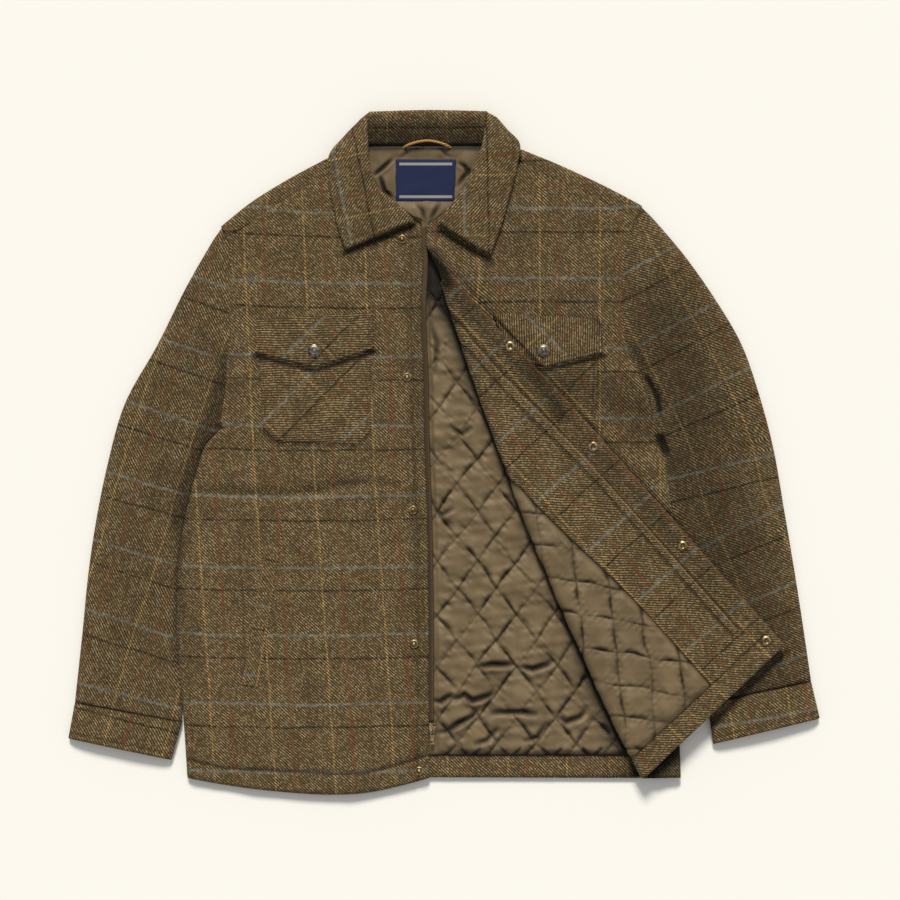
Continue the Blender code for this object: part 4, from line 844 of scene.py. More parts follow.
def build_right_front():
    side = chain(right_side, part_of(right_armhole, 1.0, YOKE_END), ARMHOLE_SHARE)
    corner = right_armhole(YOKE_END)
    top_edge = chain(line((corner, RIGHT_NECK)), line((RIGHT_NECK, RIGHT_EDGE_TOP[-1])), 0.5)
    u, v = np.meshgrid(steps((0.05, 10), (0.93, 74), (1.0, 16)), steps((0.06, 22), (0.62, 104), (0.96, 62), (1.0, 8)))
    plan = patch(line(RIGHT_HEM), top_edge, side, right_edge)(u, v)
    x, y = plan[..., 0], plan[..., 1]
    front, away = right_edge_x(y) - x, edge_away(plan, "left")
    lift = 1.0 - smooth(*EDGE_PLATEAU, front)
    under = FRONT_LIFT + (EDGE_LIFT - FRONT_LIFT) * lift
    cloth = FRONT_CLOTH + (EDGE_CLOTH - FRONT_CLOTH) * lift
    below = 1.0 - smooth(ARMHOLE_SHARE - 0.02, ARMHOLE_SHARE + 0.03, v)
    drop = round_off(away, SIDE_ROUND, SIDE_DROP) * below
    drop += round_off(away, 3.0, 0.5) * (1.0 - below)
    drop += round_off(edge_away(plan, "top"), 3.0, 0.6) + round_off(front, 4.0, 1.4)
    drop += round_off(edge_away(plan, "foot"), 6.0, 2.4)
    calm = smooth(0.0, 22.0, front) * smooth(0.0, 14.0, away)
    from_hem = beside(x, y, HEM_STITCH)[0]
    relief = calm * (1.2 * ripples(x, y, 95.0, 4) + 0.4 * ripples(x, y, 32.0, 5)) + creased(x, y, FRONT_CREASES)
    relief += -0.9 * bell(front - EDGE_STITCH, 1.9) - 1.9 * bell(from_hem, 2.4)
    relief += 0.35 * ripples(x, y, 13.0, 6) * bell(from_hem, 9.0)
    # painted shade in the grooves of the edge and hem stitching, and along the top edge
    painted_shade_and_patina = 0.35 * bell(front - EDGE_STITCH, 1.3) + 0.8 * bell(from_hem, 1.6)
    painted_shade_and_patina += 0.1 * bell(edge_away(plan, "top"), 1.3)
    top = lifted(plan, under + cloth - drop + np.minimum(relief, 2.2))
    return shell("right_front", top, lifted(plan, under), front_places(x, y), TWEED, "tweed", ["back_cloth"],
                 painted_shade_and_patina=painted_shade_and_patina)


FOLD_SIDE = (-FOLD_RUN[1], FOLD_RUN[0])
ARMPIT = ((252.0, 492.0), (268.0, 468.0), (280.0, 444.0), (286.0, 425.0))   # where the left front rolls up
TOP_SPREAD = 6.0                # of the left front towards the zip, above the fold
HALF_TURN = math.pi * FOLD_RADIUS
FOLD_MIDDLE = FOLD_LIFT + EDGE_CLOTH / 2.0


def fold_reach(x, y):
    """How far a point of the left front's cut lies from the fold, towards the side seam."""
    return (x - FOLD_START[0]) * FOLD_SIDE[0] + (y - FOLD_START[1]) * FOLD_SIDE[1]


def fold_x(reach, y):
    """The cut's x at a distance from the fold, in the row at height y."""
    return FOLD_START[0] + (reach - (y - FOLD_START[1]) * FOLD_SIDE[1]) / FOLD_SIDE[0]


def lower_cloth(reach):
    return EDGE_CLOTH + (FRONT_CLOTH - EDGE_CLOTH) * smooth(*FOLD_REACH, reach)


def fold_bow(x, y):
    """How far along the fold points lie, and how far the soft fold bows out there."""
    along = (x - FOLD_START[0]) * FOLD_RUN[0] + (y - FOLD_START[1]) * FOLD_RUN[1]
    return along, FOLD_BULGE * np.sin(math.pi * np.clip(along / FOLD_LENGTH, 0.0, 1.0)) ** 0.8


def folded(x, y, inward):
    """Where points of the left front's cut lie, `inward` from its middle towards the lining."""
    reach = fold_reach(x, y)
    along, bow = fold_bow(x, y)
    lift = FRONT_LIFT + (FOLD_LIFT - FRONT_LIFT) * (1.0 - smooth(*FOLD_REACH, reach))
    turn = np.clip(-reach / FOLD_RADIUS, 0.0, math.pi)
    side = np.where(reach >= 0.0, reach, np.where(reach > -HALF_TURN, -(FOLD_RADIUS + inward) * np.sin(turn),
                                                  -reach - HALF_TURN))
    height = np.where(reach >= 0.0, lift + lower_cloth(reach) / 2.0 - inward,
                      FOLD_MIDDLE + FOLD_RADIUS - (FOLD_RADIUS + inward) * np.cos(turn))
    bow = bow * np.where(reach >= 0.0, 1.0 - smooth(0.0, 60.0, reach),
                         np.where(reach > -HALF_TURN, 1.0, 1.0 - smooth(0.0, 80.0, side)))
    side = side - bow
    return np.stack((FOLD_START[0] + along * FOLD_RUN[0] + side * FOLD_SIDE[0],
                     FOLD_START[1] + along * FOLD_RUN[1] + side * FOLD_SIDE[1], height), axis=-1)


def mirrored(x, y):
    """Points mirrored in the fold, from the cut to where they lie or back."""
    over = 2.0 * fold_reach(x, y) + HALF_TURN
    return x - over * FOLD_SIDE[0], y - over * FOLD_SIDE[1]


def build_left_front():
    side = chain(left_front_side, part_of(left_armhole, 1.0, YOKE_END), ARMHOLE_SHARE)
    corner = left_armhole(YOKE_END)
    top_corner = (left_edge_x(FRONT_TOP_HEIGHT), FRONT_TOP_HEIGHT)
    foot_corner = (left_edge_x(0.0), 0.0)
    top_edge = chain(line((top_corner, LEFT_NECK)), line((LEFT_NECK, corner)), 0.5)
    cut = patch(line((foot_corner, (BODY_ROWS[0].left_side, 0.0))), top_edge, line((foot_corner, top_corner)), side)
    u, v = np.meshgrid(np.linspace(0.0, 1.0, 241), steps((0.6, 90), (0.88, 60), (0.985, 44), (1.0, 8)))
    plan = cut(u, v)
    turned, roll, shortest = 10, 12, 12.0
    share = steps((0.94, 52), (1.0, 10))
    rows = []
    for points in plan:
        reach = fold_reach(points[:, 0], points[:, 1])
        start, end = reach[0], reach[-1]
        strip = max(-start, shortest)
        bend = min(HALF_TURN, max(strip / 2.0, strip - 4.0))
        fold = start + strip
        marks = np.concatenate((np.linspace(start, fold - bend, turned, endpoint=False),
                                np.linspace(fold - bend, fold, roll, endpoint=False), fold + (end - fold) * share))
        rows.append(np.stack([np.interp(marks, reach, points[:, k]) for k in (0, 1)], axis=-1))
    plan = np.array(rows)
    x, y = plan[..., 0], plan[..., 1]
    reach = fold_reach(x, y)
    half = lower_cloth(reach) / 2.0
    below = 1.0 - smooth(ARMHOLE_SHARE - 0.02, ARMHOLE_SHARE + 0.03, v[:, :1])
    away = edge_away(plan, "right")
    lying = smooth(20.0, 34.0, reach)
    drop = round_off(away, SIDE_ROUND, SIDE_DROP) * below + round_off(away, 3.0, 0.5) * (1.0 - below)
    drop = drop + lying * round_off(edge_away(plan, "top"), 3.0, 0.6)
    relief = lying * smooth(0.0, 14.0, away) * (1.0 * ripples(x, y, 80.0, 14) + 0.35 * ripples(x, y, 30.0, 15))
    relief += lying * creased(x, y, LEFT_FRONT_CREASES)
    outside, inside = folded(x, y, -half), folded(x, y, half)
    for face in (outside, inside):
        face[..., 0] -= TOP_SPREAD * smooth(612.0, 655.0, y) * (1.0 - smooth(10.0, 70.0, reach))
    rolled = 3.2 * bell(beside(x, y, ARMPIT)[0], 9.0) * smooth(0.0, 6.0, away)
    outside[..., 2] += np.clip(relief, -3.4, 1.6) + lying * rolled - drop
    # painted shade along the top edge of the part that lies flat
    painted_shade_and_patina = lying * 0.1 * bell(edge_away(plan, "top"), 1.3)
    return shell("left_front", outside, inside, grain(x, y, 0.0, -39.5, 1.3), TWEED, "tweed", ["back_cloth"],
                 bulge=0.3, painted_shade_and_patina=painted_shade_and_patina)


FLAP_TURN = 42.4                # degrees that the turned front's grain lies from the body's
FLAP_PHASE = (57.6, 28.5)       # and how far its check is moved


def on_flap(node, rows, near, far, low, high, columns, relief, finish, slot, rests_on, painted_shade_and_patina=None):
    """A strip on the turned front's inside, between two distances from its cut edge."""
    flat, bend = columns
    marks = []
    for y in rows:
        start = fold_reach(left_edge_x(y) + near, y)
        end = min(fold_reach(left_edge_x(y) + far, y), -FOLD_HIDDEN * HALF_TURN)
        width = end - start
        border = max(start + 0.3 * width, min(-HALF_TURN - 1.0, start + 0.9 * width))
        marks.append(np.concatenate((np.linspace(start, border, flat, endpoint=False),
                                     np.linspace(border, end, bend + 1))))
    reach = np.array(marks)
    y = np.broadcast_to(np.array(rows)[:, None], reach.shape)
    x = fold_x(reach, y)
    from_edge = x - left_edge_x(y)
    top, under = folded(x, y, high + relief(x, y, from_edge)), folded(x, y, np.full(x.shape, low))
    places = grain(top[..., 0], top[..., 1], FLAP_TURN, *FLAP_PHASE)
    dark = None if painted_shade_and_patina is None else painted_shade_and_patina(x, y, from_edge)
    return shell(node, top, under, places, finish, slot, rests_on, bulge=0.4, painted_shade_and_patina=dark,
                 cut=np.stack((x, y), axis=-1))


def meet_height(reach):
    """Height on the cut where the facing's inner edge comes to a distance from the fold."""
    rise = LEFT_EDGE_FOOT + FACING_WIDTH - FOLD_START[0]
    slope = FOLD_SIDE[1] - LEFT_EDGE_SLOPE * FOLD_SIDE[0]
    return (reach - rise * FOLD_SIDE[0] + FOLD_START[1] * FOLD_SIDE[1]) / slope


def zipped(y):
    """1 where the left zip lies on the facing, fading out below its foot."""
    return smooth(LEFT_ZIP[0] - 8.0, LEFT_ZIP[0] + 2.0, y)


def facing_relief(x, y, from_edge):
    """Dips at the facing's topstitching and beside the zip, and a soft pad between."""
    dips = -0.75 * bell(from_edge - EDGE_STITCH, 1.7)
    for place in (ZIP_IN - TAPE_STITCH, ZIP_IN + LEFT_ZIP_WIDTH + TAPE_STITCH):
        dips += -0.9 * zipped(y) * bell(from_edge - place, 1.7)
    dips += -0.6 * bell(from_edge - FACING_WIDTH + TURN_STITCH, 1.6)
    ends = round_off(from_edge, 4.0, 1.2) + round_off(FACING_WIDTH - from_edge, 3.0, 1.0)
    soft = 0.45 * ripples(x, y, 60.0, 24) + 0.2 * ripples(x, y, 22.0, 25)
    return dips - ends + 0.35 * soft * smooth(2.0, 12.0, from_edge)


# Painted shade in the facing's stitch grooves, at its inner edge and beside the zip.
def facing_painted_shade(x, y, from_edge):
    dark = 0.3 * bell(from_edge - EDGE_STITCH, 1.2) + 0.6 * bell(FACING_WIDTH - from_edge, 1.4)
    for place in (ZIP_IN - 2.4, ZIP_IN + LEFT_ZIP_WIDTH + 2.4):
        dark += 0.75 * zipped(y) * bell(from_edge - place, 1.2)
    return dark


def build_left_inside():
    face = ON_FLAP + TRIM_CLOTH
    on_facing = face + FLAP_GAP

    def hem_relief(x, y, from_edge):
        lower = -0.8 * bell(y - HEM_TURN + TURN_STITCH, 1.6) - round_off(y, 4.0, 1.4)
        return lower + 0.25 * ripples(x, y, 26.0, 27) - round_off(HEM_TURN - y, 2.0, 0.8)

    # painted shade along the hem's top edge
    def hem_painted_shade(x, y, from_edge):
        return 0.55 * bell(HEM_TURN - y, 1.3)

    def tape_relief(x, y, from_edge):
        return -0.9 - round_off(np.minimum(from_edge - ZIP_IN, ZIP_IN + LEFT_ZIP_WIDTH - from_edge), 1.0, 0.5)

    on_flap("left_facing", np.arange(HEM_TURN + GAP, FACING_TOP, 3.6), 0.6, FACING_WIDTH, ON_FLAP, face, (48, 12),
            facing_relief, TWEED, "tweed", ["left_front_cloth"], facing_painted_shade)
    on_flap("left_hem", np.linspace(0.6, HEM_TURN, 12), 0.6, 400.0, ON_FLAP, face, (64, 12),
            hem_relief, TWEED, "tweed", ["left_front_cloth"], hem_painted_shade)
    on_flap("zip_left", np.linspace(*LEFT_ZIP, 130), ZIP_IN, ZIP_IN + LEFT_ZIP_WIDTH, on_facing,
            on_facing + TAPE_CLOTH, (6, 3), tape_relief, BAND, "zip_tape", ["left_facing_cloth"])


def quilting(x, y, crossing, seed):
    """Rise of a quilted lining, from 0 at its stitches to about 1, and its painted shade at the stitches and below each
    puff.
    """
    across, up = (x - crossing[0]) / DIAMOND[0], (y - crossing[1]) / DIAMOND[1]
    lines = []                                                # each 0 on its stitches, 1 midway to the next row up
    for k, (place, north) in enumerate(((across + up, 1.0), (across - up, -1.0))):
        place = place + QUILT_SWAY[0] * ripples(x, y, QUILT_SWAY[1], seed + k)
        lines.append(2.0 * (place - np.round(place)) * north)
    nearest = np.minimum(np.abs(lines[0]), np.abs(lines[1]))
    rise, painted_shade_and_patina = 1.0, 0.0
    for k, signed in enumerate(lines):
        near = np.abs(signed)
        tight = np.clip(0.62 + 0.7 * ripples(x, y, 55.0, seed + 2 + k), 0.15, 1.0)
        flank = np.where(signed > 0.0, 0.3, 0.7)              # a puff hangs over its lower side
        rise = rise * (1.0 - tight * (1.0 - np.sqrt(1.0 - (1.0 - np.clip(near / flank, 0.0, 1.0)) ** 2)))
        bow = smooth(0.05, 0.75, np.abs(lines[1 - k]))        # its shade is widest between the crossings
        # painted shade: a thin line on each row of stitches, and a crescent on the lower side of each puff
        painted_shade_and_patina = np.maximum(painted_shade_and_patina, (0.2 + 0.55 * tight) * bell(near, 0.055))
        painted_shade_and_patina = np.maximum(painted_shade_and_patina, (signed > 0.0) * np.clip(1.4 * tight - 0.3, 0.0, 1.0) * bow
                           * bell(near, 0.06 + 0.17 * bow))
    tucks = 0.22 * ripples(x, y, 11.0, seed + 5) * bell(nearest, 0.4) + 0.16 * ripples(x, y, 22.0, seed + 6)
    full = np.clip(0.88 + 0.3 * ripples(x, y, 60.0, seed + 7), 0.45, 1.15)
    return np.clip(rise * full + tucks, 0.0, 1.2), painted_shade_and_patina


OPEN_PUFF = 5.6                 # rise of the quilting where nothing lies on it
FLAP_PUFF = 4.4


def fold_line_reach(x, y):
    """Distance of points of the plan from the fold's outermost line, on the side where the lining shows."""
    return -(fold_reach(x, y) + fold_bow(x, y)[1] + FOLD_RADIUS + EDGE_CLOTH / 2.0)


def build_back_lining():
    plan = four_sided(BACK_LINING, 196, 420)
    x, y = plan[..., 0], plan[..., 1]
    inside = np.minimum(edge_away(plan, "left"), edge_away(plan, "right"))
    rise, painted_shade_and_patina = quilting(x, y, BACK_CROSSING, BACK_SEED)
    painted_shade_and_patina = painted_shade_and_patina * (1.0 - 0.5 * smooth(300.0, 480.0, y))
    folds = creased(x, y, LINING_CREASES)
    foot = edge_away(plan, "foot")
    sewn = smooth(0.0, 9.0, foot)
    gathers = 1.6 * ripples(x, y * 0.3, 14.0, 37) * bell(foot, 12.0)
    shown = smooth(0.0, 8.0, x - right_edge_x(y) - ZIP_GAP - ZIP_WIDTH) * smooth(0.0, 9.0, fold_line_reach(x, y))
    fade = np.maximum(LINING_PUFF / OPEN_PUFF * smooth(*LINING_FADE, inside), shown)
    puff = np.clip(OPEN_PUFF * rise + 1.7 * folds + gathers, 0.0, 8.5) * sewn * fade
    # painted shade in the lining's creases, along its hem seam, over the dark opening at the top and beside the fold
    painted_shade_and_patina = np.maximum(painted_shade_and_patina, np.clip(-folds / 2.0, 0.0, 1.0)) * smooth(10.0, 24.0, inside)
    painted_shade_and_patina = painted_shade_and_patina + bell(foot, 3.2) + 1.2 * smooth(545.0, 612.0, y)
    wide = 8.0 + 9.0 * smooth(260.0, 60.0, y) + 5.0 * smooth(430.0, 560.0, y)
    painted_shade_and_patina += 1.1 * bell(np.maximum(fold_line_reach(x, y), 0.0), wide)
    floor = BACK_CLOTH + GAP
    return shell("back_lining", lifted(plan, floor + LINING_BASE + puff), floor, grain(x, y), LINING, "lining",
                 ["back_cloth"], bulge=0.0, painted_shade_and_patina=painted_shade_and_patina)


def build_left_lining():
    foot, hidden = HEM_TURN + GAP, -FOLD_HIDDEN * HALF_TURN
    heights = np.linspace(foot, meet_height(hidden) - 3.0, 230)
    share = steps((0.86, 110), (1.0, 26))
    starts = left_edge_x(heights) + FACING_WIDTH + GAP
    ends = fold_x(hidden, heights)
    x = starts[:, None] + (ends - starts)[:, None] * share
    y = np.broadcast_to(heights[:, None], x.shape)
    under = folded(x, y, np.full(x.shape, ON_FLAP))
    rise, painted_shade_and_patina = quilting(*mirrored(under[..., 0], under[..., 1]), LEFT_CROSSING, LEFT_SEED)
    to_edge = np.minimum(x - starts[:, None], y - foot)
    sewn = smooth(0.0, 8.0, to_edge)
    folds = 1.0 * ripples(x, y, 18.0, 57) * bell(to_edge, 14.0)
    on_roll = 1.0 - 0.45 * smooth(-HALF_TURN - 8.0, -HALF_TURN + 4.0, fold_reach(x, y))
    puff = np.clip((FLAP_PUFF * rise + folds) * sewn * on_roll, 0.0, 6.4)
    top = folded(x, y, ON_FLAP + LINING_BASE + puff)
    places = grain(top[..., 0], top[..., 1], FLAP_TURN)
    # painted shade along its sewn edges
    return shell("left_lining", top, under, places, LINING, "lining", ["left_front_cloth"], bulge=0.0,
                 painted_shade_and_patina=painted_shade_and_patina + 0.6 * bell(to_edge, 2.2), cut=np.stack((x, y), axis=-1))


NECK_CREASES = (
    Crease(((-36.0, 706.0), (-48.0, 716.0), (-54.0, 735.0)), 2.5, 2.7, 1.0),
    Crease(((-62.0, 735.0), (-50.0, 745.0), (-37.0, 757.0)), 2.8, 2.4, 1.0),
    Crease(((39.0, 720.0), (47.0, 732.0), (58.0, 744.0)), 2.5, 2.6, 1.0),
    Crease(((41.0, 752.0), (50.0, 746.0), (56.0, 735.0)), 2.5, 2.4, 1.0),
    Crease(((-10.0, 702.0), (-2.0, 692.0), (2.0, 678.0)), 1.4, 2.7, 0.8),
    Crease(((20.0, 702.0), (14.0, 692.0), (8.0, 680.0)), 1.4, 2.7, 0.8),
    Crease(((-20.0, 767.0), (-24.0, 760.0), (-30.0, 757.0)), 1.1, 2.0, 0.6),
    Crease(((22.0, 767.0), (27.0, 760.0), (36.0, 757.0)), 1.1, 2.0, 0.6),
)


def build_neck():
    u, v = even_grid(120, 84)
    plan = line(NECK_LEFT)(v) * (1.0 - u[..., None]) + line(NECK_RIGHT)(v) * u[..., None]
    x, y = plan[..., 0], plan[..., 1]
    floor = BACK_CLOTH + GAP
    hidden = smooth(0.0, 10.0, np.minimum(edge_away(plan, "left"), edge_away(plan, "right")))
    under_label = np.exp(-(np.maximum(np.abs(x - 2.0) / 41.0, np.abs(y - 729.6) / 30.0) ** 8))
    folds = creased(x, y, NECK_CREASES)
    rise = (1.2 * np.abs(ripples(x, y, 34.0, 61)) + 2.2 + 1.5 * folds) * hidden * (1.0 - under_label)
    # painted shade: a little all over, in its creases and along its top edge
    painted_shade_and_patina = 0.1 + np.clip(-folds / 1.8, 0.0, 0.85) * (1.0 - under_label) + 0.8 * bell(edge_away(plan, "top"), 3.0)
    shell("neck_lining", lifted(plan, floor + 1.4 + np.clip(rise, -1.0, 4.0)), lifted(plan, floor), grain(x, y),
          LINING, "lining", ["back_cloth"], bulge=0.0, painted_shade_and_patina=painted_shade_and_patina)
    plan = four_sided(LABEL, 40, 30)
    x, y = plan[..., 0], plan[..., 1]
    edges = np.minimum.reduce([edge_away(plan, edge) for edge in ("left", "right", "foot", "top")])
    low = floor + 1.5 + GAP
    wave = np.maximum(0.35 * ripples(x, y, 40.0, 63) * smooth(0.0, 12.0, edges), 0.0)
    top = low + 0.8 + wave - round_off(edges, 1.2, 0.35)
    places = np.stack((x - LABEL[0][0], y - LABEL[0][1]), axis=-1)
    shell("label", lifted(plan, top), lifted(plan, low + wave), places, NAVY, "label", ["neck_lining_cloth"],
          bulge=0.2)


def build_back():
    share = np.linspace(0.0, 1.0, 60)
    outline = [*right_side(share), *right_armhole(1.0 - share[:-1]), *right_shoulder(share[1::3]), (-72.0, 769.6),
               (77.0, 769.6), *left_shoulder(1.0 - share[:-1:3]), *left_armhole(share), *left_side(1.0 - share[1:-1]),
               (BODY_ROWS[0].left_side, 5.0), (262.0, -1.0), (5.6, 0.0)]
    slab("back", outline, 0.0, BACK_CLOTH, TWEED, "tweed")
    plan = four_sided(BACK_HEM, 90, 12)
    x, y = plan[..., 0], plan[..., 1]
    low, away = BACK_CLOTH + GAP, edge_away(plan, "top")
    top = low + BACK_HEM_CLOTH - round_off(edge_away(plan, "foot"), 4.0, 1.2) - round_off(away, 2.5, 0.8)
    top += 0.15 * ripples(x, y, 26.0, 71) - 0.5 * bell(HEM_TURN - y - TURN_STITCH, 1.6)
    # painted shade along the hem's top edge
    shell("back_hem", lifted(plan, top), lifted(plan, low), grain(x, y, along=30.0), TWEED, "tweed", ["back_cloth"],
          bulge=0.3, painted_shade_and_patina=0.95 * bell(away, 1.8))


def build_yoke(side, shoulder, armhole, neck):
    """The strip of the back that comes over a shoulder to the forward seam."""
    seam_end = np.array(neck)
    end = part_of(armhole, 0.0, YOKE_END)
    seam = line((end(1.0), seam_end))
    first, begin = shoulder(0.06), end(0.0)
    outer = chain(line((begin, first)), part_of(shoulder, 0.06, 1.0), 0.06)
    u, v = even_grid(50, 16)
    plan = patch(seam, outer, part_of(end, 1.0, 0.0), line((seam_end, shoulder(1.0))))(u, v)
    plan[..., 1] -= SEAM_TUCK * (1.0 - smooth(0.0, 0.2, v))
    x, y = plan[..., 0], plan[..., 1]
    top = FRONT_LIFT + FRONT_CLOTH - round_off(edge_away(plan, "top"), SIDE_ROUND, SIDE_DROP)
    top += 0.25 * ripples(x, y, 40.0, 73) - round_off(edge_away(plan, "foot"), 5.0, SEAM_DIP)
    # painted shade along the seam at its foot
    painted_shade_and_patina = 0.1 * bell(edge_away(plan, "foot"), 1.4)
    return shell(side + "_yoke", lifted(plan, top), lifted(plan, BACK_CLOTH + GAP), grain(x, y), TWEED, "tweed",
                 ["back_cloth"], bulge=0.4, painted_shade_and_patina=painted_shade_and_patina)


# A gold line down each sleeve and cuff, and a place on it where a pale blue line crosses.
Grainline = namedtuple("Grainline", "points blue")
SLEEVE_GRAINS = {
    "right": Grainline(((-197.6, 671.0), (-241.0, 539.2), (-290.4, 389.2), (-328.2, 256.2), (-361.7, 153.7),
                        (-391.6, 39.0), (-398.9, 9.8)), (-324.5, 267.2)),
    "left": Grainline(((209.8, 624.6), (242.8, 563.6), (287.9, 480.7), (326.6, 397.8), (345.9, 323.2), (370.0, 272.5),
                       (389.3, 221.9), (432.7, 115.9), (449.0, 76.9)), (359.3, 292.2)),
}
CUFF_GRAINS = {"right": Grainline(((-370.0, 122.0), (-398.5, 10.0)), (-396.0, 20.0)),
               "left": Grainline(((442.3, 107.4), (457.0, 28.0)), (446.5, 78.7))}


def sleeve_places(plan, grainline):
    """Places on a sleeve's cloth: across from its gold line, and up along it."""
    curve = line(grainline.points)(np.linspace(0.0, 1.0, 60))
    first, last = curve[0] - 4.0 * (curve[1] - curve[0]), curve[-1] + 4.0 * (curve[-1] - curve[-2])
    curve = np.concatenate(([first], curve, [last]))
    length = np.linalg.norm(np.diff(curve, axis=0), axis=1).sum()
    away, side, along = beside(plan[..., 0], plan[..., 1], curve)
    crossing = beside(np.array(grainline.blue[0]), np.array(grainline.blue[1]), curve)[2]
    return np.stack((GOLD_LINES[1] + away * side, BLUE_LINES[1] + (crossing - along) * length), axis=-1)


CUFF_LINES = {}                 # the seam and the end of each cuff


def crowned(u):
    """Underside of a sleeve's or a cuff's top cloth, across its width."""
    return BACK_CLOTH + 2.0 * GAP + SLEEVE_CROWN * (1.0 - (2.0 * u - 1.0) ** 2)


def build_sleeve(side, armhole, tuck, outer, inner, top_inner, cuff_end, creases, seed):
    """A sleeve's top and under cloth, and its cuff's."""
    seam = line((outer(1.0), inner(1.0)))
    u, v = np.meshgrid(steps((0.14, 10), (0.86, 30), (1.0, 10)), np.linspace(0.0, 1.0, 150))
    plan = patch(seam, armhole, part_of(outer, 1.0, 0.0), part_of(top_inner, 1.0, 0.0))(u, v)
    joined = plan[-1].copy()
    plan[..., 0] += tuck * smooth(0.965, 1.0, v)
    x, y = plan[..., 0], plan[..., 1]
    edge = np.minimum(edge_away(plan, "left"), edge_away(plan, "right"))
    crown = crowned(u)
    relief = smooth(0.0, 16.0, edge) * (1.2 * ripples(x, y, 95.0, seed) + 0.4 * ripples(x, y, 34.0, seed + 1))
    relief += creased(x, y, creases) * smooth(0.0, 6.0, edge)
    top = crown + SLEEVE_CLOTH - round_off(edge, SLEEVE_ROUND, SLEEVE_DROP) + np.minimum(relief, 2.2)
    top += smooth(0.9, 0.985, v) * smooth(0.0, SLEEVE_ROUND, edge) * (FRONT_LIFT + FRONT_CLOTH - SEAM_DIP - top)
    top -= round_off(edge_away(plan, "foot"), 3.5, 1.4)
    # painted shade along the armhole seam
    painted_shade_and_patina = 0.55 * bell(edge_away(plan, "foot"), 1.4)
    places = sleeve_places(plan, SLEEVE_GRAINS[side])
    shell(side + "_top_sleeve", lifted(plan, top), lifted(plan, crown), places, TWEED, "tweed",
          [side + "_under_sleeve_cloth"], bulge=0.4, painted_shade_and_patina=painted_shade_and_patina)
    around = [*joined, *inner(np.linspace(0.0, 1.0, 60)[1:-1]), *plan[0, ::-1], *plan[1:-1, 0]]
    slab(side + "_under_sleeve", around, 0.0, BACK_CLOTH, TWEED, "tweed", soft=1.4)

    below = np.array((0.0, -GAP * 2.0))
    start, end = line((outer(1.0) + below, inner(1.0) + below)), line(cuff_end)
    u, v = np.meshgrid(steps((0.14, 10), (0.86, 30), (1.0, 10)), steps((0.18, 8), (0.85, 10), (1.0, 5)))
    cuff = patch(end, start, line((end(0.0), start(0.0))), line((end(1.0), start(1.0))))(u, v)
    x, y = cuff[..., 0], cuff[..., 1]
    edge = np.minimum(edge_away(cuff, "left"), edge_away(cuff, "right"))
    crown = crowned(u)
    foot, sewn = edge_away(cuff, "foot"), edge_away(cuff, "top")
    top = crown + SLEEVE_CLOTH + CUFF_EXTRA - round_off(edge, SLEEVE_ROUND, SLEEVE_DROP)
    top += 0.2 * ripples(x, y, 40.0, seed + 2) - round_off(foot, 4.0, 1.8) - round_off(sewn, 3.0, 1.2)
    top -= 0.7 * bell(foot - CUFF_STITCH, 1.6)
    # painted shade in the cuff's stitch groove and along its seam
    painted_shade_and_patina = 0.3 * bell(foot - CUFF_STITCH, 1.2) + 0.6 * bell(sewn, 1.4)
    places = sleeve_places(cuff, CUFF_GRAINS[side])
    shell(side + "_cuff_top", lifted(cuff, top), lifted(cuff, crown), places, TWEED, "tweed",
          [side + "_cuff_under_cloth"], bulge=0.5, painted_shade_and_patina=painted_shade_and_patina)
    slab(side + "_cuff_under", [start(0.0), start(1.0), end(1.0), end(0.0)], 0.0, BACK_CLOTH, TWEED, "tweed")
    CUFF_LINES[side] = start, end


def build_sleeves():
    gap = np.array((-1.2, 0.0))

    def right_inner(share):
        share = np.asarray(share, dtype=float)
        reached = right_side(1.0 - (1.0 - CUFF_STEP) * np.minimum(share, 0.97)) + gap
        close = smooth(0.9, 1.0, share)[..., None]
        return reached * (1.0 - close) + np.array(RIGHT_CUFF_INNER) * close

    def right_top_inner(share):
        tucked = 1.0 - smooth(0.8, 0.95, np.asarray(share, dtype=float))
        return right_inner(share) + np.array((SEAM_TUCK, 0.0)) * tucked[..., None]

    build_sleeve("right", right_armhole, SEAM_TUCK, line(RIGHT_SLEEVE_OUTER), right_inner, right_top_inner,
                 RIGHT_CUFF_END, RIGHT_SLEEVE_CREASES, 81)
    build_sleeve("left", left_armhole, -SEAM_TUCK, line(LEFT_SLEEVE_OUTER), line(LEFT_SLEEVE_INNER),
                 line(LEFT_TOP_INNER), LEFT_CUFF_END, LEFT_SLEEVE_CREASES, 91)


LEAF_STITCH = 7.0               # from a collar leaf's edge to its topstitching
LEAF_GRAINS = {"right": (101.5, 0.0, 57.0), "left": (91.0, 27.3, 160.0)}


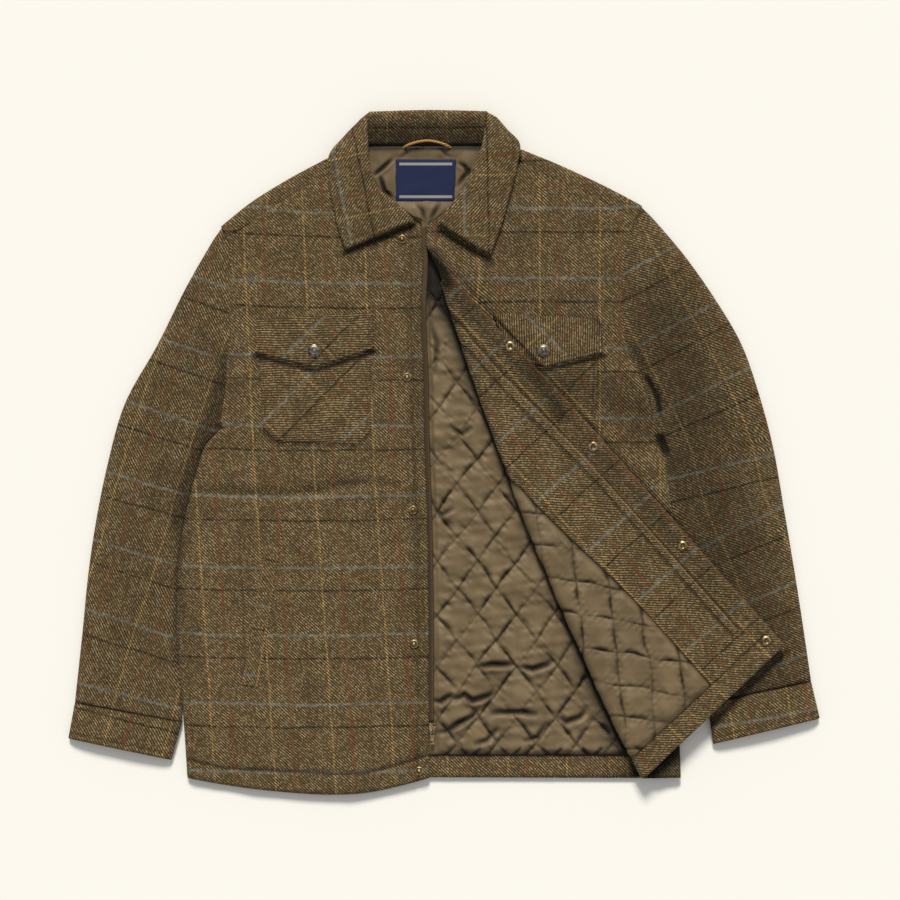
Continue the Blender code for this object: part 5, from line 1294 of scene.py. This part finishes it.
def build_leaf(side, rows, seed):
    roll = line([(*row.roll, row.roll_top) for row in rows])
    outer = line([(*row.outer, row.outer_top) for row in rows])
    u, v = np.meshgrid(steps((0.16, 9), (0.8, 22), (1.0, 12)), steps((0.9, 60), (1.0, 12)))
    point = roll(v) * (1.0 - u[..., None]) + outer(v) * u[..., None]
    plan = point[..., :2]
    x, y = plan[..., 0], plan[..., 1]
    inner, edge, foot = edge_away(plan, "left"), edge_away(plan, "right"), edge_away(plan, "top")
    fall = round_off(inner, 7.0, 3.0) + round_off(edge, 4.0, 1.6) + round_off(foot, 4.0, 1.6)
    relief = 0.35 * ripples(x, y, 38.0, seed) * smooth(0.0, 12.0, edge)
    near = np.minimum(edge, foot)
    relief -= 0.6 * bell(near - LEAF_STITCH, 1.6)
    top = lifted(plan, point[..., 2] + 2.0 * np.sin(math.pi * u) - fall + relief)
    under = lifted(plan, point[..., 2] - COLLAR_CLOTH)
    # painted shade in the topstitching groove
    painted_shade_and_patina = 0.25 * bell(near - LEAF_STITCH, 1.1)
    return shell(side + "_collar_leaf", top, under, grain(x, y, *LEAF_GRAINS[side]), TWEED, "tweed",
                 [side + "_front_cloth"], bulge=0.7, painted_shade_and_patina=painted_shade_and_patina)


STAND_RISE = 10.0               # of the stand to its roll


def build_collar():
    build_leaf("right", RIGHT_LEAF, 101)
    build_leaf("left", LEFT_LEAF, 103)
    slab("collar_fall", FALL_OUTLINE, 0.0, BACK_CLOTH, TWEED, "tweed")
    foot, roll = line(STAND_FOOT), line(STAND_ROLL)
    u, v = np.meshgrid(np.linspace(0.0, 1.0, 60), steps((0.7, 14), (1.0, 12)))
    plan = foot(u) * (1.0 - v[..., None]) + roll(u) * v[..., None]
    x, y = plan[..., 0], plan[..., 1]
    away = edge_away(plan, "foot")
    top = STAND_FOOT_HEIGHT + STAND_RISE * smooth(-0.1, 0.95, v) - round_off(edge_away(plan, "top"), 7.0, 5.0)
    top += 0.25 * ripples(x, y, 30.0, 107) - 0.7 * bell(y - STAND_STITCH, 1.6) - round_off(away, 3.0, 1.6)
    # painted shade in the stitch groove and along the stand's foot
    painted_shade_and_patina = 0.4 * bell(y - STAND_STITCH, 1.2) + 0.7 * bell(away, 2.0)
    shell("collar_stand", lifted(plan, top), lifted(plan, BACK_CLOTH + GAP + 2.0 * v), grain(x, y, 0.0, 0.0, -40.0),
          TWEED, "tweed", ["collar_fall_cloth"], bulge=0.6, painted_shade_and_patina=painted_shade_and_patina)


POCKET_STITCH = 4.0             # from a pocket's edges to its topstitching


def pocket_cloth(node, foot, top_corners, low, turn, seed, rests_on):
    """A pocket's bag or flap, with a soft pad in its middle."""
    u, v = np.meshgrid(steps((0.1, 10), (0.9, 40), (1.0, 10)), steps((0.2, 10), (0.85, 20), (1.0, 8)))
    foot_line = bent(foot)
    left, right = line((foot[0], top_corners[0])), line((foot[-1], top_corners[1]))
    plan = patch(foot_line, line(top_corners), left, right)(u, v)
    x, y = plan[..., 0], plan[..., 1]
    foot_away = beside(x, y, foot)[0]
    sides = np.minimum(edge_away(plan, "left"), edge_away(plan, "right"))
    near = np.minimum(foot_away, sides)
    top = low + TRIM_CLOTH - round_off(near, 3.0, 1.3) - 0.5 * bell(near - POCKET_STITCH, 1.5)
    away = edge_away(plan, "top")
    top += smooth(2.0, 30.0, near) * (0.45 + 0.3 * ripples(x, y, 45.0, seed)) - round_off(away, 3.0, 1.4)
    # painted shade in the stitch groove and along the top edge
    painted_shade_and_patina = 0.25 * bell(near - POCKET_STITCH, 1.1) + 0.35 * bell(away, 1.5)
    return shell(node, lifted(plan, top), lifted(plan, low), grain(x, y, *turn), TWEED, "tweed", rests_on, bulge=0.4,
                 painted_shade_and_patina=painted_shade_and_patina)


def turned(node, profile, place, finish, slot, sides=40):
    """A profile of (radius, height, patina) from its middle outwards and down, turned about an upright line."""
    profile = np.array(profile, dtype=float)
    angles = np.linspace(0.0, math.tau, sides, endpoint=False)
    points, faces = [(place[0], place[1], place[2] + profile[0, 1])], []
    dark = [profile[0, 2]]
    for radius, height, painted_shade_and_patina in profile[1:]:
        points += [(place[0] + radius * math.cos(a), place[1] + radius * math.sin(a), place[2] + height)
                   for a in angles]
        dark += [painted_shade_and_patina] * sides
    for k in range(sides):
        after = (k + 1) % sides
        faces.append((0, 1 + k, 1 + after))
        for ring in range(len(profile) - 2):
            a, b = 1 + ring * sides, 1 + (ring + 1) * sides
            faces.append((a + k, b + k, b + after, a + after))
    faces.append([1 + (len(profile) - 2) * sides + k for k in range(sides)])
    obj = new_piece(node + "_metal", points, faces, np.zeros((len(points), 2)), dark, finish)
    return declare(obj, slot, node)


CAP_PROFILE = ((0.0, 2.3, 0.0), (1.6, 2.28, 0.1), (2.3, 2.2, 0.2), (2.6, 1.98, 0.9), (2.9, 1.98, 0.9), (3.2, 2.16, 0.2),
               (4.6, 1.98, 0.1), (5.9, 1.66, 0.1), (6.2, 1.44, 0.8), (6.5, 1.5, 0.4), (7.2, 1.2, 0.1), (7.9, 0.8, 0.1),
               (8.2, 0.4, 0.3), (8.1, 0.0, 0.8))
STUD_PROFILE = ((0.0, 3.4, 0.0), (0.9, 3.35, 0.0), (1.6, 3.05, 0.0), (2.0, 2.5, 0.2), (1.7, 1.9, 1.0), (1.6, 1.2, 1.0),
                (2.4, 0.9, 1.0), (3.2, 0.9, 0.9), (4.2, 0.95, 0.15), (4.9, 0.75, 0.05), (5.4, 0.35, 0.7),
                (5.3, 0.0, 1.0))
SOCKET_PROFILE = ((0.0, 0.8, 0.3), (0.6, 0.8, 0.6), (1.0, 0.7, 1.0), (2.1, 0.8, 1.0), (2.6, 1.4, 1.0), (3.0, 1.9, 0.2),
                  (3.6, 2.1, 0.0), (4.4, 2.05, 0.0), (5.2, 1.6, 0.2), (5.8, 1.1, 0.5), (6.3, 0.8, 0.6),
                  (6.5, 0.4, 0.9), (6.4, 0.0, 1.0))


def build_pockets():
    front = FRONT_LIFT + FRONT_CLOTH
    bag, flap = front + 0.5, front + 0.5 + TRIM_CLOTH + GAP
    for k, pocket in enumerate(POCKETS):
        pocket_cloth(pocket.side + "_pocket", pocket.bag_foot, pocket.bag_top, bag, pocket.bag_grain, 111 + k,
                     [pocket.side + "_front_cloth"])
        pocket_cloth(pocket.side + "_pocket_flap", pocket.flap_foot, pocket.flap_top, flap, pocket.flap_grain, 121 + k,
                     [pocket.side + "_pocket_cloth"])
        turned(pocket.side + "_pocket_snap", CAP_PROFILE, (*pocket.cap, flap + TRIM_CLOTH + GAP), PEWTER, "pewter", 56)
    plan = four_sided(WELT, 12, 60)
    x, y = plan[..., 0], plan[..., 1]
    edges = np.minimum(edge_away(plan, "left"), edge_away(plan, "right"))
    ends = np.minimum(edge_away(plan, "foot"), edge_away(plan, "top"))
    top = front + 2.0 - round_off(edges, 4.0, 1.3) - round_off(ends, 4.0, 1.3) + 0.15 * ripples(x, y, 30.0, 131)
    shell("right_welt", lifted(plan, top), lifted(plan, front + GAP), grain(x, y, -10.0, 30.0, 12.0), TWEED, "tweed",
          ["right_front_cloth"], bulge=0.3)


def build_snaps():
    on_front = EDGE_LIFT + EDGE_CLOTH + GAP
    for number, (x, y) in enumerate(STUDS, 1):
        turned(f"snap_stud_{number}", STUD_PROFILE, (x, y, on_front), BRASS, "brass")
    on_facing = FOLD_MIDDLE + 2.0 * FOLD_RADIUS + ON_FLAP + TRIM_CLOTH + GAP
    for number, (x, y) in enumerate(SOCKETS, 1):
        turned(f"snap_socket_{number}", SOCKET_PROFILE, (x, y, on_facing), BRASS, "brass")


def rod(path, radius, sides, side=None):
    """Points and faces of a rod along a path. Its radius may vary, and `side` is where its rings start."""
    along = np.gradient(path, axis=0)
    along /= np.linalg.norm(along, axis=1, keepdims=True)
    if side is None:
        side = np.cross(along, (0.0, 0.0, 1.0))
        side /= np.linalg.norm(side, axis=1, keepdims=True)
    side = np.broadcast_to(side, path.shape)
    up = np.cross(side, along)
    angles = np.linspace(0.0, math.tau, sides, endpoint=False)[None, :, None]
    points = path[:, None] + radius * (np.cos(angles) * side[:, None] + np.sin(angles) * up[:, None])
    number = np.arange(len(path) * sides).reshape(len(path), sides)
    after = np.roll(number, -1, axis=1)
    faces = np.stack((number[:-1], after[:-1], after[1:], number[1:]), axis=-1).reshape(-1, 4).tolist()
    return points.reshape(-1, 3), faces + [list(number[0]), list(number[-1])]


def build_hanger():
    """A cord of three twisted strands, sewn down at both ends."""
    path = line(HANGER)(np.linspace(0.0, 1.0, 90))
    length = np.concatenate(([0.0], np.cumsum(np.linalg.norm(np.diff(path, axis=0), axis=1))))
    sides, strands, pitch = 24, 3.0, 5.0
    angles = np.linspace(0.0, math.tau, sides, endpoint=False)
    strand = np.cos(strands * (angles[None] - math.tau * length[:, None] / (strands * pitch)))
    points, faces = rod(path, (CORD_RADIUS * (0.94 + 0.12 * strand))[..., None], sides)
    # the darker colour between the strands is painted shade
    obj = new_piece("hanger_loop_cord", points, faces, np.zeros((len(points), 2)),
                    np.clip(0.5 - 0.6 * strand, 0.0, 1.0).ravel(), GOLD)
    declare(obj, "cord", "hanger_loop")


SLIDER_FOOT = 54.0
SLIDER_HALF = 4.0
SLIDER_PLATE = 2.2
BRIDGE = ((10.0, 1.8), (9.9, 4.6), (8.6, 5.6), (3.4, 5.6), (2.1, 4.6), (2.0, 1.8))   # along the slider and over it
BRIDGE_RADIUS = 0.6
PULL_HALF = 2.7
PULL_ARM = 1.2
PULL_BAR = 0.6
PULL_EYE = 6.5
PULL_LENGTH = 17.6
PULL_AXIS = (4.6, 3.6)
SLIDER_MIDDLE = float(right_edge_x(SLIDER_FOOT)) + ZIP_GAP + SLIDER_HALF


def plate(name, outlines, place, half, bevel, finish):
    """A flat metal piece with rounded edges, from its outline and the outlines of its holes."""
    curve = bpy.data.curves.new(name, "CURVE")
    curve.dimensions, curve.fill_mode = "2D", "BOTH"
    curve.extrude, curve.bevel_depth, curve.bevel_resolution = (half - bevel) * MM, bevel * MM, 3
    curve.offset = -bevel * MM
    for outline in outlines:
        spline = curve.splines.new("POLY")
        spline.points.add(len(outline) - 1)
        for point, (x, y) in zip(spline.points, outline):
            point.co = (x * MM, y * MM, 0.0, 1.0)
        spline.use_cyclic_u = True
    drawn = put(name, curve)
    mesh = bpy.data.meshes.new_from_object(drawn.evaluated_get(bpy.context.evaluated_depsgraph_get()))
    bpy.data.objects.remove(drawn)
    points = np.array([vertex.co for vertex in mesh.vertices]) / MM + place
    faces = [list(polygon.vertices) for polygon in mesh.polygons]
    bpy.data.meshes.remove(mesh)
    return new_piece(name, points, faces, np.zeros((len(points), 2)), np.zeros(len(points)), finish)


def arc(centre, radius, start, end, count):
    """Points on part of a circle, angles in degrees."""
    return [(centre[0] + radius * math.cos(math.radians(a)), centre[1] + radius * math.sin(math.radians(a)))
            for a in np.linspace(start, end, count)]


TAPE_END = 11.0                 # of the right tape above its teeth


def build_zip():
    """The right tape, the slider on it and its pull tab."""
    v = np.linspace(0.0, 1.0, 900)
    edge = right_edge(v)
    edge = edge[(edge[:, 1] > ZIP_FOOT) & (edge[:, 1] < ZIP_TOP + TAPE_END)][::3]
    u = np.linspace(0.0, ZIP_WIDTH, 6)
    plan = edge[:, None] + np.stack((ZIP_GAP + u, 0.0 * u), axis=-1)
    top = ZIP_LEVEL + TAPE_CLOTH - round_off(np.minimum(u, ZIP_WIDTH - u), 1.0, 0.4)
    shell("zip_right", lifted(plan, np.broadcast_to(top, plan.shape[:2])), lifted(plan, ZIP_LEVEL),
          plan.copy(), TAPE, "zip_tape", ["back_lining_cloth"], bulge=0.2)

    outline = (arc((2.6, 11.6), 1.4, 0.0, 90.0, 6) + [(1.2, 13.0), (0.8, 12.2), (-0.8, 12.2), (-1.2, 13.0)]
               + arc((-2.6, 11.6), 1.4, 90.0, 180.0, 6) + [(-4.0, 6.5)] + arc((-1.9, 1.1), 1.1, 190.0, 270.0, 5)
               + arc((1.9, 1.1), 1.1, 270.0, 350.0, 5) + [(4.0, 6.5)])
    slider = plate("zip_slider_metal", [outline], (SLIDER_MIDDLE, SLIDER_FOOT, ZIP_LEVEL + SLIDER_PLATE / 2.0),
                   SLIDER_PLATE / 2.0, 0.4, BRASS)
    path = np.array([(SLIDER_MIDDLE, SLIDER_FOOT + y, ZIP_LEVEL + z)
                     for y, z in line(BRIDGE)(np.linspace(0.0, 1.0, 40))])
    points, faces = rod(path, BRIDGE_RADIUS, 12, (1.0, 0.0, 0.0))
    bridge = new_piece("zip_bridge", points, faces, np.zeros((len(points), 2)), np.zeros(len(points)), BRASS)
    declare(slider, "brass", "zip_slider")
    declare(bridge, "brass")

    hinge = (SLIDER_MIDDLE, SLIDER_FOOT + PULL_AXIS[0], ZIP_LEVEL + PULL_AXIS[1])
    inner = PULL_HALF - PULL_ARM
    tab = (arc((PULL_HALF - 1.0, PULL_BAR - 1.0), 1.0, 0.0, 90.0, 5)
           + arc((1.0 - PULL_HALF, PULL_BAR - 1.0), 1.0, 90.0, 180.0, 5)
           + [(-PULL_HALF, -PULL_EYE), (-2.2, -PULL_EYE - 2.0), (-PULL_HALF, 4.0 - PULL_LENGTH)]
           + arc((1.5 - PULL_HALF, 1.5 - PULL_LENGTH), 1.5, 180.0, 270.0, 5)
           + arc((PULL_HALF - 1.5, 1.5 - PULL_LENGTH), 1.5, 270.0, 360.0, 5)
           + [(PULL_HALF, 4.0 - PULL_LENGTH), (2.2, -PULL_EYE - 2.0), (PULL_HALF, -PULL_EYE)])
    eye = [(-inner, -PULL_BAR), (inner, -PULL_BAR), (inner, 0.8 - PULL_EYE), (inner - 0.8, -PULL_EYE),
           (0.8 - inner, -PULL_EYE), (-inner, 0.8 - PULL_EYE)]
    pull = plate("zip_pull_metal", [tab, eye], hinge, PULL_BAR, 0.25, BRASS)
    declare(pull, "brass", "zip_pull", body="zip_pull")


# Sewing.

def make_bead_group():
    """Nodes that set a small rounded bead, lying along the path, at even steps of every path."""
    group = bpy.data.node_groups.new("beads_on_paths", "GeometryNodeTree")
    group.interface.new_socket("Paths", in_out="INPUT", socket_type="NodeSocketGeometry")
    for key in ("Spacing", "Length", "Width", "Height"):
        group.interface.new_socket(key, in_out="INPUT", socket_type="NodeSocketFloat")
    group.interface.new_socket("Finish", in_out="INPUT", socket_type="NodeSocketMaterial")
    group.interface.new_socket("Beads", in_out="OUTPUT", socket_type="NodeSocketGeometry")

    def add(kind, **settings):
        made = group.nodes.new(kind)
        for key, value in settings.items():
            setattr(made, key, value)
        return made

    given, result = add("NodeGroupInput"), add("NodeGroupOutput")
    curve, spaced = add("GeometryNodeMeshToCurve"), add("GeometryNodeResampleCurve", mode="LENGTH")
    bead, size = add("GeometryNodeMeshUVSphere"), add("ShaderNodeCombineXYZ")
    bead.inputs["Segments"].default_value, bead.inputs["Rings"].default_value = 6, 4
    bead.inputs["Radius"].default_value = 0.5
    tangent, turn = add("GeometryNodeInputTangent"), add("FunctionNodeAlignRotationToVector", axis="X")
    placed, real = add("GeometryNodeInstanceOnPoints"), add("GeometryNodeRealizeInstances")
    finish = add("GeometryNodeSetMaterial")
    links = ((given, "Paths", curve, "Mesh"), (curve, "Curve", spaced, "Curve"), (given, "Spacing", spaced, "Length"),
             (spaced, "Curve", placed, "Points"), (bead, "Mesh", placed, "Instance"),
             (tangent, "Tangent", turn, "Vector"), (turn, "Rotation", placed, "Rotation"),
             (given, "Length", size, "X"), (given, "Width", size, "Y"), (given, "Height", size, "Z"),
             (size, "Vector", placed, "Scale"), (placed, "Instances", real, "Geometry"),
             (real, "Geometry", finish, "Geometry"), (given, "Finish", finish, "Material"),
             (finish, "Geometry", result, "Beads"))
    for source, output, target, key in links:
        group.links.new(source.outputs[output], target.inputs[key])
    return group


BEADS = make_bead_group()
TREES = {}


def laid(plan, *nodes):
    """Runs of points of a plan, let down on to the cloth of some nodes, in metres."""
    for node in nodes:
        if node not in TREES:
            mesh = bpy.data.objects[node + "_cloth"].data
            TREES[node] = BVHTree.FromPolygons([vertex.co for vertex in mesh.vertices],
                                               [polygon.vertices for polygon in mesh.polygons])
    runs, run = [], []
    for x, y in plan:
        start = Vector(((x - CENTRE[0]) * MM, (y - CENTRE[1]) * MM, 0.1))
        hits = [TREES[node].ray_cast(start, Vector((0.0, 0.0, -1.0)))[0] for node in nodes]
        hits = [hit for hit in hits if hit is not None]
        if hits:
            run.append(max(hits, key=lambda hit: hit.z))
        elif run:
            runs.append(run)
            run = []
    return [run for run in runs + [run] if len(run) > 1]


def dense(points, step=2.0):
    """Points along straight runs, at most a step apart."""
    points = np.array(points, dtype=float)
    length = np.linalg.norm(np.diff(points, axis=0), axis=1).sum()
    return bent(points)(np.linspace(0.0, 1.0, max(int(length / step), 2) + 1))


def beads(name, runs, spacing, length, width, height, finish, slot):
    """One mesh of beads along runs of points; sizes in millimetres."""
    points = [tuple(point) for run in runs for point in run]
    ends = np.cumsum([len(run) for run in runs])
    edges = [(k, k + 1) for k in range(len(points) - 1) if k + 1 not in ends]
    mesh = bpy.data.meshes.new(name + "_paths")
    mesh.from_pydata(points, edges, [])
    paths = put(name + "_paths", mesh)
    modifier = paths.modifiers.new("beads", "NODES")
    modifier.node_group = BEADS
    sockets = {item.name: item.identifier for item in BEADS.interface.items_tree if item.in_out == "INPUT"}
    for key, value in (("Spacing", spacing), ("Length", length), ("Width", width), ("Height", height)):
        modifier[sockets[key]] = value * MM
    modifier[sockets["Finish"]] = finish
    made = bpy.data.meshes.new_from_object(paths.evaluated_get(bpy.context.evaluated_depsgraph_get()))
    paths.modifiers.remove(modifier)
    bpy.data.objects.remove(paths)
    made.name = name
    made.shade_smooth()
    return declare(put(name, made), slot)


def inset(points, distance):
    """A run of points moved to its left-hand side."""
    points = np.array(points, dtype=float)
    run = np.gradient(points, axis=0)
    run /= np.linalg.norm(run, axis=1, keepdims=True)
    return points + distance * np.stack((-run[:, 1], run[:, 0]), axis=1)


def seam_rows(start, end, offsets):
    """Rows of sewing beside a straight seam, on its left-hand side."""
    return [dense(inset((start, end), offset)) for offset in offsets]


def quilt_lines(crossing, seed, box):
    """The lines of a quilted lining's stitches within a box, as runs of points on its cut."""
    x0, y0, x1, y1 = box
    lines = []
    for k, sign in enumerate((1.0, -1.0)):
        for number in range(-24, 25):
            y = np.arange(y0, y1, 2.5)
            up = (y - crossing[1]) / DIAMOND[1]
            x = crossing[0] + DIAMOND[0] * (number - sign * up)
            for _ in range(4):
                sway = QUILT_SWAY[0] * ripples(x, y, QUILT_SWAY[1], seed + k)
                x = crossing[0] + DIAMOND[0] * (number - sign * up - sway)
            inside = (x > x0) & (x < x1)
            if inside.sum() > 3:
                lines.append(np.stack((x, y), axis=-1)[inside])
    return lines


def sew_all():
    heights = np.arange(LEFT_ZIP[0], FACING_TOP - 4.0, 2.0)

    def on_cut(from_edge, y, inward=ON_FLAP + TRIM_CLOTH):
        """A place of the turned front's inside on the plan."""
        return folded(left_edge_x(y) + from_edge, y, np.full(np.shape(y), inward))[..., :2]

    brown, tan, taupe = [], [], []
    y = np.arange(22.0, 656.0, 2.0)
    brown += laid(np.stack((right_edge_x(y) - EDGE_STITCH, y), axis=-1), "right_front")
    brown += laid(dense(HEM_STITCH), "right_front")
    for side, armhole, neck, way in (("right", right_armhole, RIGHT_NECK, 1.0),
                                     ("left", left_armhole, LEFT_NECK, -1.0)):
        corner = armhole(YOKE_END)
        for row in seam_rows(corner, neck, (way * 2.4, way * 7.0)):
            brown += laid(row, side + "_yoke")
        start, end = CUFF_LINES[side]
        across = np.linspace(0.03, 0.97, 60)
        for near, far, distance in ((start, end, 2.4), (start, end, 6.6), (end, start, CUFF_STITCH)):
            step = far(across) - near(across)
            row = near(across) + step / np.linalg.norm(step, axis=1, keepdims=True) * distance
            brown += laid(row, side + "_cuff_top")
    for side, rows in (("right", RIGHT_LEAF), ("left", LEFT_LEAF)):
        v = np.linspace(0.04, 1.0, 70)
        roll, outer = line([row.roll for row in rows])(v), line([row.outer for row in rows])(v)
        in_from = (roll - outer) / np.linalg.norm(roll - outer, axis=1, keepdims=True)
        edge = outer + LEAF_STITCH * in_from
        shift = edge[-1] - edge[-2]
        foot_row = np.linspace(edge[-1], roll[-1] - 4.0 * in_from[-1], 40)
        foot_row = foot_row - LEAF_STITCH * shift / np.linalg.norm(shift)
        brown += laid(edge[np.linalg.norm(edge - edge[-1], axis=1) > LEAF_STITCH], side + "_collar_leaf")
        brown += laid(foot_row, side + "_collar_leaf")
    brown += laid(dense(((-58.0, STAND_STITCH), (66.0, STAND_STITCH))), "collar_stand")
    brown += laid(dense(((-12.0, HEM_TURN - TURN_STITCH), (270.0, HEM_TURN - TURN_STITCH))), "back_hem")
    for pocket in POCKETS:
        bag = np.array((pocket.bag_top[0], *pocket.bag_foot, pocket.bag_top[1]))
        flap = np.array((pocket.flap_top[0], *pocket.flap_foot, pocket.flap_top[1]))
        for points, node in ((bag, "_pocket"), (flap, "_pocket_flap")):
            middle = points.mean(axis=0)
            inner = middle + (points - middle) * (1.0 - POCKET_STITCH / (np.abs(points - middle).max(axis=0) - 1.0))
            brown += laid(dense(inner), pocket.side + node)
        for drop in (2.4, 6.4):
            row = np.array(pocket.flap_top) + ((3.0, -drop), (-3.0, -drop))
            brown += laid(dense(row), pocket.side + "_pocket_flap")
    brown += laid(on_cut(EDGE_STITCH, heights), "left_facing")
    for place in (ZIP_IN - TAPE_STITCH, ZIP_IN + LEFT_ZIP_WIDTH + TAPE_STITCH):
        brown += laid(on_cut(place, heights[heights < LEFT_ZIP[1]]), "left_facing")
    x = np.arange(left_edge_x(0.0) + 4.0, fold_x(-HALF_TURN, HEM_TURN), 2.0)
    row = folded(x, np.full(x.shape, HEM_TURN - TURN_STITCH), np.full(x.shape, ON_FLAP + TRIM_CLOTH))
    brown += laid(row[:, :2], "left_hem")
    tan += laid(on_cut(FACING_WIDTH - TURN_STITCH, np.arange(30.0, meet_height(-HALF_TURN), 2.0)), "left_facing")
    for side in (0, 1):
        tan += laid(dense(inset(np.array((WELT[side], WELT[side + 2])), (-2.6, 2.6)[side])), "right_welt")
    tan += laid(dense((np.array(WELT[2]) - (0.0, 2.4), np.array(WELT[3]) - (0.0, 2.4))), "right_welt")
    tan += laid(dense((np.array(WELT[0]) + (0.0, 2.4), np.array(WELT[1]) + (0.0, 2.4))), "right_welt")

    for run in quilt_lines(BACK_CROSSING, BACK_SEED, (-10.0, 30.0, 281.0, 640.0)):
        shown = (run[:, 0] > right_edge_x(run[:, 1]) + 8.0) & (fold_line_reach(run[:, 0], run[:, 1]) > 3.0)
        if shown.sum() > 3:
            taupe += laid(run[shown], "back_lining")
    for run in quilt_lines(LEFT_CROSSING, LEFT_SEED, (120.0, 28.0, 300.0, 330.0)):
        x, y = run.T
        shown = (x > left_edge_x(y) + FACING_WIDTH + 2.0) & (fold_reach(x, y) < -HALF_TURN)
        if shown.sum() > 3:
            taupe += laid(np.stack(mirrored(x[shown], y[shown]), axis=-1), "left_lining")
    beads("tweed_topstitching", brown, 3.3, 2.5, 0.75, 0.6, BROWN_THREAD, "tweed")
    beads("tan_topstitching", tan, 3.3, 2.6, 0.9, 0.7, TAN_THREAD, "tweed")
    beads("quilting_stitches", taupe, 4.0, 2.8, 0.7, 0.5, TAUPE_THREAD, "lining")

    corners = np.array(LABEL)[[0, 1, 3, 2, 0]]
    middle = corners[:4].mean(axis=0)
    beads("label_stitches", laid(dense(middle + (corners - middle) * (0.965, 0.95)), "label"), 2.6, 1.9, 0.5, 0.4,
          NAVY_THREAD, "label")
    y = np.arange(ZIP_FOOT + 3.0, ZIP_TOP - 3.0, 2.0)
    teeth = laid(np.stack((right_edge_x(y) + ZIP_GAP + ZIP_WIDTH - 1.5, y), axis=-1), "zip_right")
    beads("right_zip_teeth", teeth, 2.2, 1.2, 2.4, 1.4, TOOTH_THREAD, "zip_tape")
    y = np.arange(LEFT_ZIP[0] + 1.0, LEFT_ZIP[1] - 1.0, 2.0)
    coil = laid(on_cut(ZIP_IN + 1.2, y, ON_FLAP + TRIM_CLOTH + FLAP_GAP + TAPE_CLOTH), "zip_left")
    beads("left_zip_coil", coil, 1.5, 1.0, 1.9, 1.2, COIL_THREAD, "zip_tape")


build_back()
build_right_front()
build_left_front()
build_left_inside()
build_back_lining()
build_left_lining()
build_neck()
build_yoke("right", right_shoulder, right_armhole, RIGHT_NECK)
build_yoke("left", left_shoulder, left_armhole, LEFT_NECK)
build_sleeves()
build_collar()
build_pockets()
build_snaps()
build_hanger()
build_zip()
sew_all()

# Floor, light and camera.
PHOTO_MIDDLE = (31.7, 400.2)    # drawing point in the middle of the picture
PHOTO_WIDTH = 1098.0            # of the picture, at the jacket
CAMERA_HEIGHT = 3200.0
JACKET_LEVEL = 12.0
KEY_RISE = math.radians(38.0)
KEY_SOFTNESS = math.radians(15.0)
KEY_LIGHT = 0.63                # on the floor; with the room's light it makes just over 1
ROOM_LIGHT = 0.44


def build_stage():
    mesh = bpy.data.meshes.new("floor")
    mesh.from_pydata([(x, y, -0.0004) for x, y in ((-4, -4), (4, -4), (4, 4), (-4, 4))], [], [(0, 1, 2, 3)])
    material, w, shader = new_finish("paper_floor", Roughness=0.9, Specular_IOR_Level=0.1)
    place = w.node("TexCoord", output=3)
    mottle = w.node("TexNoise", {"Vector": place, "Scale": 3.0, "Detail": 2.0})
    connect(w, shader, Base_Color=mottle.tint((0.938, 0.905, 0.814, 1.0), (0.935, 0.902, 0.811, 1.0)))
    mesh.materials.append(material)
    floor = put("floor", mesh)


def build_light():
    """A soft key from the top of the picture, and an even pale room."""
    key = bpy.data.lights.new("key", "SUN")
    key.energy = KEY_LIGHT * math.pi / math.sin(KEY_RISE)
    key.angle = KEY_SOFTNESS
    key.color = (1.0, 0.985, 0.955)
    obj = put("key", key)
    obj.location = (0.0, 2.0, 1.6)
    obj.rotation_euler = Vector((0.04, -math.cos(KEY_RISE), -math.sin(KEY_RISE))).to_track_quat("-Z", "Y").to_euler()
    world = bpy.data.worlds.new("studio")
    bpy.context.scene.world = world
    world.use_nodes = True
    background = world.node_tree.nodes["Background"]
    background.inputs["Color"].default_value = (0.95, 0.975, 1.035, 1.0)
    background.inputs["Strength"].default_value = ROOM_LIGHT


build_stage()
build_light()

camera = bpy.data.cameras.new("camera")
camera.sensor_width = 36.0
camera.lens = camera.sensor_width * CAMERA_HEIGHT / PHOTO_WIDTH
camera.clip_end = 50.0
camera_object = put("camera", camera)
camera_object.location = ((PHOTO_MIDDLE[0] - CENTRE[0]) * MM, (PHOTO_MIDDLE[1] - CENTRE[1]) * MM,
                          (CAMERA_HEIGHT + JACKET_LEVEL) * MM)
bpy.context.scene.camera = camera_object
bpy.context.scene.view_settings.view_transform = "Standard"
